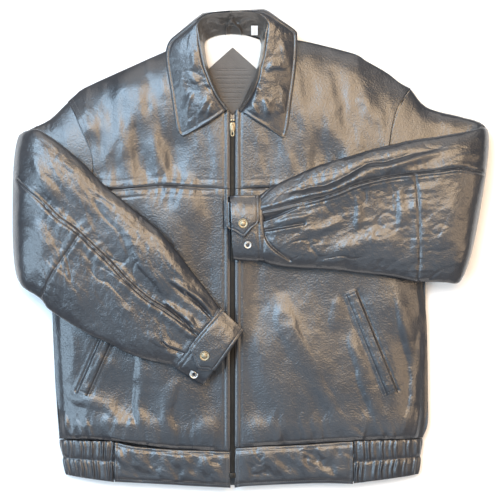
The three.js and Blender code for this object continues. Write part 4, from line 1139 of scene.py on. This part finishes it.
corners = locker["corners"]
plan = patchPlan([corners["bottom"], corners["left"]], [corners["right"], corners["top"]],
                 [corners["bottom"], corners["right"]], [corners["left"], corners["top"]], 110, 110)
x, y = plan[..., 0], plan[..., 1]
lines = np.zeros(x.shape)
for row, (lineY, half) in enumerate(locker["pressedLines"]):
    worn = 0.7 + 0.5 * noise(x, y, 3.0, 340 + row)
    pressed = np.exp(-((y - lineY) / locker["pressWidth"]) ** 2) * smooth(half, half - 4, np.abs(x - zipX))
    lines -= locker["pressDepth"] * pressed * worn
level = liningLevel(x, y) + locker["lift"] + 0.25 * noise(x, y, 22, 351) + lines
patch = gridMesh("locker_patch_leather", np.dstack([x, y, level]))
leatherSheet(patch, 0.0012, 0.0004)
finishPiece(patch, "torso", lockerLeather, ["locker_patch"])
diamond = [corners["bottom"], corners["left"], corners["top"], corners["right"], corners["bottom"]]
inset = np.array(diamond, float) * 0.95 + np.array([-30, 253.5]) * 0.05
edges = list(zip(inset[:-1], inset[1:]))
finishPiece(stitchMesh("patch_stitches", stitchRuns(topFinder(patch), edges, 2.6), 1.9, 0.22), "torso", threadWithPaintedHighlight)


def ribbon(name, path, width, thickness, across, cols=9):
    # a strap carried along a curve in space, its width laid along one direction
    p = curvePoints(path, 60)
    w = np.asarray(across, float) / np.linalg.norm(across)
    u = np.linspace(-0.5, 0.5, cols)[None, :, None]
    points = p[:, None] + u * width * w[None, None]
    strap = gridMesh(name, points)
    withModifier(strap, "SOLIDIFY", thickness=thickness * 0.001, offset=0.0)
    withModifier(strap, "BEVEL", width=thickness * 0.0003, segments=2, limit_method="ANGLE", angle_limit=1.05)
    return applyAll(strap)


loopPath = [(-40, 323, 24), (-39, 329, 31), (-36.5, 336, 41), (-32, 341.5, 47), (-26, 337, 42), (-18.5, 330, 32),
            (-16, 323, 24)]
loop = ribbon("hanger_loop_strap", loopPath, 4.6, 1.6, (0.35, 0.74, -0.57))
# the loop takes the collar stand's leather, painted lighter as painted sheen
finishPiece(loop, "torso", paintedSheenLeather, ["hanger_loop"])
x, t = np.meshgrid(np.linspace(-2, 8, 24), np.linspace(0, 1, 24))
label = gridMesh("woven_size_label", np.dstack([x, 321.5 + 12.5 * t, 24 + 12 * t + 0.4 * np.sin(x)]))
withModifier(label, "SOLIDIFY", thickness=0.0005, offset=0.0)
finishPiece(applyAll(label), "torso", labelCloth, ["size_label"])
print("neck ready")

# zip: woven tapes, metal teeth, stops, box, slider and pull
zipper = {"pitch": 2.45, "toothDepth": 2.4, "toothHeight": 1.7, "toothOffset": 0.95, "toothLevel": 27.9,
          "tapeLevel": 27.2,
          "sliderAt": 183.0, "sliderLength": 14.5, "pullAt": 177.3, "pullHalfLength": 9.0, "pullHalfWidth": 3.0,
          "boxAt": -339.6}
for side, x0, x1 in (("right", -44, -30.6), ("left", -29.4, -16)):
    plan = patchPlan([(x0, -335), (x1, -335)], [(x0, 191), (x1, 191)], [(x0, -335), (x0, 191)],
                     [(x1, -335), (x1, 191)], 260, 16)
    x, y = plan[..., 0], plan[..., 1]
    tape = gridMesh(f"{side}_tape",
                    np.dstack([x, y, zipper["tapeLevel"] + 0.12 * np.sin(y * 1.9) + 0.05 * np.sin(x * 5)]))
    withModifier(tape, "SOLIDIFY", thickness=0.0007, offset=-1.0)
    finishPiece(applyAll(tape), "torso", tapeCloth, [f"{side}_zip_tape"])
    # one tooth: a clamp on the tape's cord that narrows into a rounded head
    inward = 1 if side == "right" else -1
    px = np.array([-1.0, -0.2, 0.35, 1.0, 1.0, 0.35, -0.2, -1.0]) * 0.5 * zipper["toothDepth"]
    py = np.array([-0.46, -0.46, -0.30, -0.42, 0.42, 0.30, 0.46, 0.46]) * zipper["pitch"] * 0.9
    low, mid = np.column_stack([px * inward, py, 0 * px]), np.column_stack([px * inward, py, 0 * px + 0.75])
    high = np.column_stack([px * 0.86 * inward, py * 0.8, 0 * px + 1.0])
    tooth = np.vstack([low, mid, high])
    tooth[:, 2] *= zipper["toothHeight"]
    walls = [[r * 8 + i, r * 8 + (i + 1) % 8, (r + 1) * 8 + (i + 1) % 8, (r + 1) * 8 + i]
             for r in range(2) for i in range(8)]
    walls += [list(range(8))[::-1], [16 + i for i in range(8)]]
    if inward < 0:
        walls = [f[::-1] for f in walls]
    count = int(524 / zipper["pitch"])
    ys = -334 + (np.arange(count) + (0.5 if side == "left" else 0.0)) * zipper["pitch"]
    centres = np.column_stack([np.full(count, zipX - inward * zipper["toothOffset"]), ys,
                               np.full(count, zipper["toothLevel"])])
    points = (centres[:, None] + tooth[None]).reshape(-1, 3)
    faces = [[k * 24 + i for i in f] for k in range(count) for f in walls]
    mesh = bpy.data.meshes.new(f"{side}_teeth")
    mesh.from_pydata(metres(points).tolist(), [], faces)
    mesh.update()
    teeth = bpy.data.objects.new(f"{side}_teeth", mesh)
    bpy.context.scene.collection.objects.link(teeth)
    finishPiece(teeth, "torso", darkTeeth, [f"{side}_zip_teeth"])
print("teeth ready")


def block(name, outline, heights, centre, bevel=0.35, squeeze=1.0):
    # a plan outline raised between two heights, the top drawn in a little, all edges rounded
    p = np.asarray(outline, float)
    n = len(p)
    rings = [np.column_stack([p, np.full(n, heights[0])]), np.column_stack([p * squeeze, np.full(n, heights[1])])]
    points = np.vstack(rings) + np.array([centre[0], centre[1], centre[2]])
    faces = [[i, (i + 1) % n, n + (i + 1) % n, n + i] for i in range(n)]
    faces += [list(range(n))[::-1], [n + i for i in range(n)]]
    mesh = bpy.data.meshes.new(name)
    mesh.from_pydata(metres(points).tolist(), [], faces)
    mesh.polygons.foreach_set("use_smooth", np.ones(len(faces), bool))
    mesh.update()
    obj = bpy.data.objects.new(name, mesh)
    bpy.context.scene.collection.objects.link(obj)
    withModifier(obj, "BEVEL", width=bevel * 0.001, segments=3, limit_method="ANGLE", angle_limit=0.7)
    return applyAll(obj)


def joined(name, pieces):
    # several finished meshes gathered into one object
    mesh = bpy.data.meshes.new(name)
    verts, faces = [], []
    for piece in pieces:
        base = len(verts)
        verts += [tuple(v.co) for v in piece.data.vertices]
        faces += [[base + i for i in f.vertices] for f in piece.data.polygons]
        bpy.data.objects.remove(piece)
    mesh.from_pydata(verts, [], faces)
    mesh.polygons.foreach_set("use_smooth", np.ones(len(faces), bool))
    mesh.update()
    obj = bpy.data.objects.new(name, mesh)
    bpy.context.scene.collection.objects.link(obj)
    return obj


def outlineOf(halfWidths, length):
    # symmetric outline from half widths at even steps along the length, walked anticlockwise
    w = np.asarray(halfWidths, float)
    ys = np.linspace(-length / 2, length / 2, len(w))
    return np.vstack([np.column_stack([w, ys]), np.column_stack([-w, ys])[::-1]])


at = zipper["sliderAt"]
topPlate = outlineOf([3.0, 3.8, 4.1, 4.3, 4.3, 4.0, 3.4], zipper["sliderLength"])
lowPlate = outlineOf([2.0, 2.4, 2.6, 2.7, 2.7, 2.5, 2.1], zipper["sliderLength"])
plates = [block("top_plate", topPlate, (0, 1.1), (zipX, at, 29.9), 0.4, 0.94),
          block("low_plate", lowPlate, (0, 0.9), (zipX, at, 26.6), 0.3),
          block("bridge", outlineOf([1.1, 1.2, 1.2, 1.1], 9.0), (0, 1.3), (zipX, at + 0.5, 30.8), 0.4, 0.8),
          block("right_wall", [(-2.7, -6), (-2.3, -6), (-2.3, 4), (-2.7, 4)], (0, 3.2), (zipX, at, 26.8), 0.12),
          block("left_wall", [(2.3, -6), (2.7, -6), (2.7, 4), (2.3, 4)], (0, 3.2), (zipX, at, 26.8), 0.12)]
finishPiece(joined("slider_body", plates), "zip_slider", zipBrass, ["zip_slider"])
# pull: a long tab with an oblong hole, hooked on the slider's bridge
a = np.linspace(0, 2 * np.pi, 48, endpoint=False)
across, down = zipper["pullHalfWidth"], zipper["pullHalfLength"]
outer = np.column_stack([across * np.sign(np.cos(a)) * np.abs(np.cos(a)) ** 0.5,
                         down * np.sign(np.sin(a)) * np.abs(np.sin(a)) ** 0.75])
outer[:, 0] *= 1 - 0.18 * smooth(0, down, outer[:, 1])
inner = np.column_stack([1.3 * np.cos(a), -4.9 + 2.4 * np.sin(a)])
ringPoints = []
for edge, h in ((outer, 0.0), (outer, 1.0), (outer * 0.9 + inner * 0.1, 1.3), (inner * 0.9 + outer * 0.1, 1.3),
                (inner, 1.0), (inner, 0.0), (outer, 0.0)):
    ringPoints.append(np.column_stack([edge + np.array([zipX, zipper["pullAt"]]), np.full(len(edge), 32.4 + h)]))
pull = gridMesh("pull_tab", np.array(ringPoints), ring=True, flip=True)
finishPiece(pull, "zip_pull", zipBrass, ["zip_pull"])
boxPlan = [(-4.8, -4), (4.8, -4), (4.8, 4), (-4.8, 4)]
ribPlan = [(-1.6, -2.4), (1.6, -2.4), (1.6, 2.4), (-1.6, 2.4)]
bottomBox = joined("box_and_pin", [block("bottom_box", boxPlan, (0, 2.6), (zipX, zipper["boxAt"], 28.0), 0.6, 0.9),
                                   block("box_rib", ribPlan, (0, 0.5), (zipX, zipper["boxAt"], 30.5), 0.2, 0.8)])
finishPiece(bottomBox, "torso", darkTeeth, ["zip_bottom_box"])
for side, x0 in (("right", -31.7), ("left", -28.3)):
    stop = block(f"{side}_stop", [(-1.5, -1.7), (1.5, -1.7), (1.5, 1.7), (-1.5, 1.7)], (0, 2.3), (x0, 193.4, 27.9),
                 0.4, 0.9)
    finishPiece(stop, "torso", zipBrass, [f"{side}_top_stop"])
plan = patchPlan([(-50, -340), (-13, -340)], [(-50, 196), (-13, 196)], [(-50, -340), (-50, 196)],
                 [(-13, -340), (-13, 196)], 200, 14)
x, y = plan[..., 0], plan[..., 1]
flap = gridMesh("wind_flap_skin", np.dstack([x, y, 25.9 + 0.3 * noise(x, y, 40, 361)]))
leatherSheet(flap, 0.0014, 0.0004)
finishPiece(flap, "torso", leather, ["wind_flap"])
print("zip ready")

# pockets: a folded welt stitched round its box, its free edge towards the side seam, and the cotton bag under it
pocket = {"slits": {"right": [(-263, -214), (-228, -135), (-192, -56)],
                    "left": [(216.5, -213), (186, -138), (155.5, -62)]},
          "weltWidth": 19.5, "weltLength": 167.0, "weltRise": 1.9, "bagDepth": 4.8}
welts = {}
for side, slit in pocket["slits"].items():
    slitLine = np.array(slit, float)
    rows, cols = 110, 26
    # u = 0 on the free outer edge, 1 on the inner sewn edge
    tangent = slitLine[-1] - slitLine[0]
    tangent /= np.linalg.norm(tangent)
    inwardDir = np.array([tangent[1], -tangent[0]]) if side == "right" else np.array([-tangent[1], tangent[0]])
    a = curvePoints(slitLine, rows)
    b = a + pocket["weltWidth"] * inwardDir
    u = np.linspace(0, 1, cols)[None, :]
    t = np.linspace(0, 1, rows)[:, None]
    plan = a[:, None] * (1 - u[..., None]) + b[:, None] * u[..., None]
    x, y = plan[..., 0], plan[..., 1]
    inside, fromEnd = u * pocket["weltWidth"], np.minimum(t, 1 - t) * pocket["weltLength"]
    swell = 0.5 * puffs(x, y, 15, 371) * np.sin(np.pi * u)
    z = frontLevelAt(x, y) + pocket["weltRise"] * (1 - smooth(0.55, 1.0, u)) + 0.9 + swell
    # pressed along its end and side stitching, rolled down at the free edge
    z = z - 0.5 * np.exp(-((fromEnd - 3) / 1.2) ** 2) - 0.7 * np.exp(-((inside - 16.5) / 1.0) ** 2)
    z = z - 1.2 * (1 - smooth(0, 2.0, inside))
    welt = gridMesh(f"{side}_welt_skin", np.dstack([x, y, z]), flip=(side == "left"))
    leatherSheet(welt, 0.0020, 0.0006)
    finishPiece(welt, "torso", leather, [f"{side}_pocket_welt"])
    welts[side] = welt
    # bag of thin cotton between front leather and lining
    lowOuter, lowInner = tuple(a[0] - tangent * 30), tuple(b[0] - tangent * 34 + inwardDir * 70)
    highOuter, highInner = tuple(a[-1]), tuple(b[-1] + inwardDir * 40)
    bagPlan = patchPlan([lowOuter, lowInner], [highOuter, highInner], [lowOuter, highOuter], [lowInner, highInner], 40,
                        30)
    x, y = bagPlan[..., 0], bagPlan[..., 1]
    level = np.minimum(frontBase(x, y) - pocket["bagDepth"], 24.4) + 0.3 * noise(x, y, 25, 381)
    bag = gridMesh(f"{side}_pocket_bag_cotton", np.dstack([x, y, level]), flip=(side == "left"))
    withModifier(bag, "SOLIDIFY", thickness=0.0008, offset=0.0)
    finishPiece(applyAll(bag), "torso", cotton, [f"{side}_pocket_bag"])
print("pockets ready")


def torsoStitches():
    # rows along the yoke seams, the zip's edges, the armholes, the waistband's borders and the pockets
    find = topFinder(rightYoke, leftYoke, rightFront, leftFront, rightBand, leftBand)
    lines = []
    for path in (rightYokeSeam, leftYokeSeam):
        lines += [besidePath(path, 14), besidePath(path, 2.2), besidePath(path, -12.5)]
    for edgeX in (rightEdgeX - 1.6, rightEdgeX - 6.4, leftEdgeX + 1.6, leftEdgeX + 6.4):
        lines += [[(edgeX, -298), (edgeX, 88)], [(edgeX, 94), (edgeX, 196)], [(edgeX, -354), (edgeX, -304)]]
    for path in (rightArm[4:], leftArm[4:]):
        side = 1 if path[0][0] < 0 else -1
        lines += [besidePath(path, -side * 3.0), besidePath(path, -side * 8.5)]
    for bottom, top, left, right in (rightBandBorder, leftBandBorder):
        lines += [besidePath(bottom, 4.5), besidePath(top, -4.5), besidePath(left, -4.5), besidePath(right, 4.5)]
    lines += [besidePath(rightWaistSeam[2:], 4.0), besidePath(leftWaistSeam[:-2], 4.0)]
    runs = stitchRuns(find, lines, 3.0)
    obj = stitchMesh("front_stitches", runs, 2.2, 0.30)
    finishPiece(obj, "torso", threadWithPaintedHighlight)
    for side, sign in (("right", 1), ("left", -1)):
        slit = np.array(pocket["slits"][side], float)[::2]
        along = (slit[1] - slit[0]) / np.linalg.norm(slit[1] - slit[0])
        inwardDir = np.array([along[1], -along[0]]) * sign
        low, high = slit[0] + along * 3, slit[1] - along * 3
        box = [[low + inwardDir * 1, low + inwardDir * 17], [low + inwardDir * 17, high + inwardDir * 17],
               [high + inwardDir * 17, high + inwardDir * 1],
               [slit[0] + inwardDir * 22 - along * 2, slit[1] + inwardDir * 22 + along * 2]]
        runs = stitchRuns(topFinder(welts[side], rightFront, leftFront), box, 2.8)
        finishPiece(stitchMesh(f"{side}_pocket_stitches", runs, 2.1, 0.26), "torso", threadWithPaintedHighlight)


torsoStitches()
for side in ("right", "left"):
    marks = sleeveMarks[side]
    find = topFinder(sleeveSkins[side, "high"])
    lines = [besidePath(marks["double"], 2.4, 80), besidePath(marks["double"], -2.4, 80),
             besidePath(marks["elbow"], 2.0, 40)]
    threads = stitchMesh(f"{side}_sleeve_stitches", stitchRuns(find, lines, 3.0), 2.2, 0.30)
    finishPiece(threads, elbowBlend(side), threadWithPaintedHighlight)
print("stitches ready")


studio = {"cameraHeight": 2.6, "viewWidth": 0.750, "floorTone": 0.94}


def stageFloor():
    x, y = np.meshgrid(np.linspace(-9, 9, 13), np.linspace(-9, 9, 13))
    points = np.dstack([x * 1000, y * 1000, 0 * x - 0.4]) - planShift
    floor = gridMesh("studio_floor", points)
    p = Paint("paleFloor")
    p.set(Base_Color=(studio["floorTone"],) * 3, Roughness=0.9, Specular_IOR_Level=0.1)
    floor.data.materials.append(p.material)


def areaLight(name, place, target, size, power, colour):
    data = bpy.data.lights.new(name, "AREA")
    data.shape, data.size, data.size_y = "RECTANGLE", size[0], size[1]
    data.energy, data.color = power, colour
    lamp = bpy.data.objects.new(name, data)
    lamp.location = place
    lamp.rotation_euler = (Vector(target) - Vector(place)).to_track_quat("-Z", "Y").to_euler()
    bpy.context.scene.collection.objects.link(lamp)


stageFloor()
areaLight("coolOverhead", (-1.0, 0.96, 2.9), (-0.1, 0.1, 0), (1.25, 1.35), 80, (0.54, 0.77, 1.0))
areaLight("warmOverhead", (0.43, 0.94, 2.9), (0.1, 0.1, 0), (1.5, 1.35), 62, (1.0, 0.71, 0.42))
areaLight("lowOverhead", (0.0, -1.1, 3.0), (0.0, 0.0, 0), (3.2, 1.3), 13, (0.58, 0.80, 1.0))
areaLight("warmWindow", (1.7, -0.1, 1.9), (0.1, 0.0, 0), (0.7, 1.5), 16, (1.0, 0.70, 0.42))
areaLight("frontSoft", (0.1, -2.6, 0.9), (0, 0, 0), (2.4, 0.9), 14, (1.0, 0.93, 0.86))
areaLight("backSoft", (0.0, 2.5, 2.1), (0, 0, 0), (3.2, 0.9), 24, (1.0, 0.93, 0.86))
areaLight("coolSide", (-1.8, -0.3, 1.9), (0, 0, 0), (0.7, 1.6), 32, (0.58, 0.80, 1.0))
world = bpy.data.worlds.new("softRoom")
world.use_nodes = True
world.node_tree.nodes["Background"].inputs[0].default_value = (0.93, 0.95, 1.0, 1)
world.node_tree.nodes["Background"].inputs[1].default_value = 0.30
bpy.context.scene.world = world
bpy.context.scene.view_settings.view_transform = "Standard"

cameraData = bpy.data.cameras.new("overheadCamera")
camera = bpy.data.objects.new("overheadCamera", cameraData)
middle = metres([[-3.75, 1.5, 30.0]])[0]
camera.location = (middle[0], middle[1], studio["cameraHeight"])
cameraData.sensor_width = 36.0
cameraData.lens = 36.0 * (studio["cameraHeight"] - 0.03) / studio["viewWidth"]
bpy.context.scene.collection.objects.link(camera)
bpy.context.scene.camera = camera
print("studio ready")
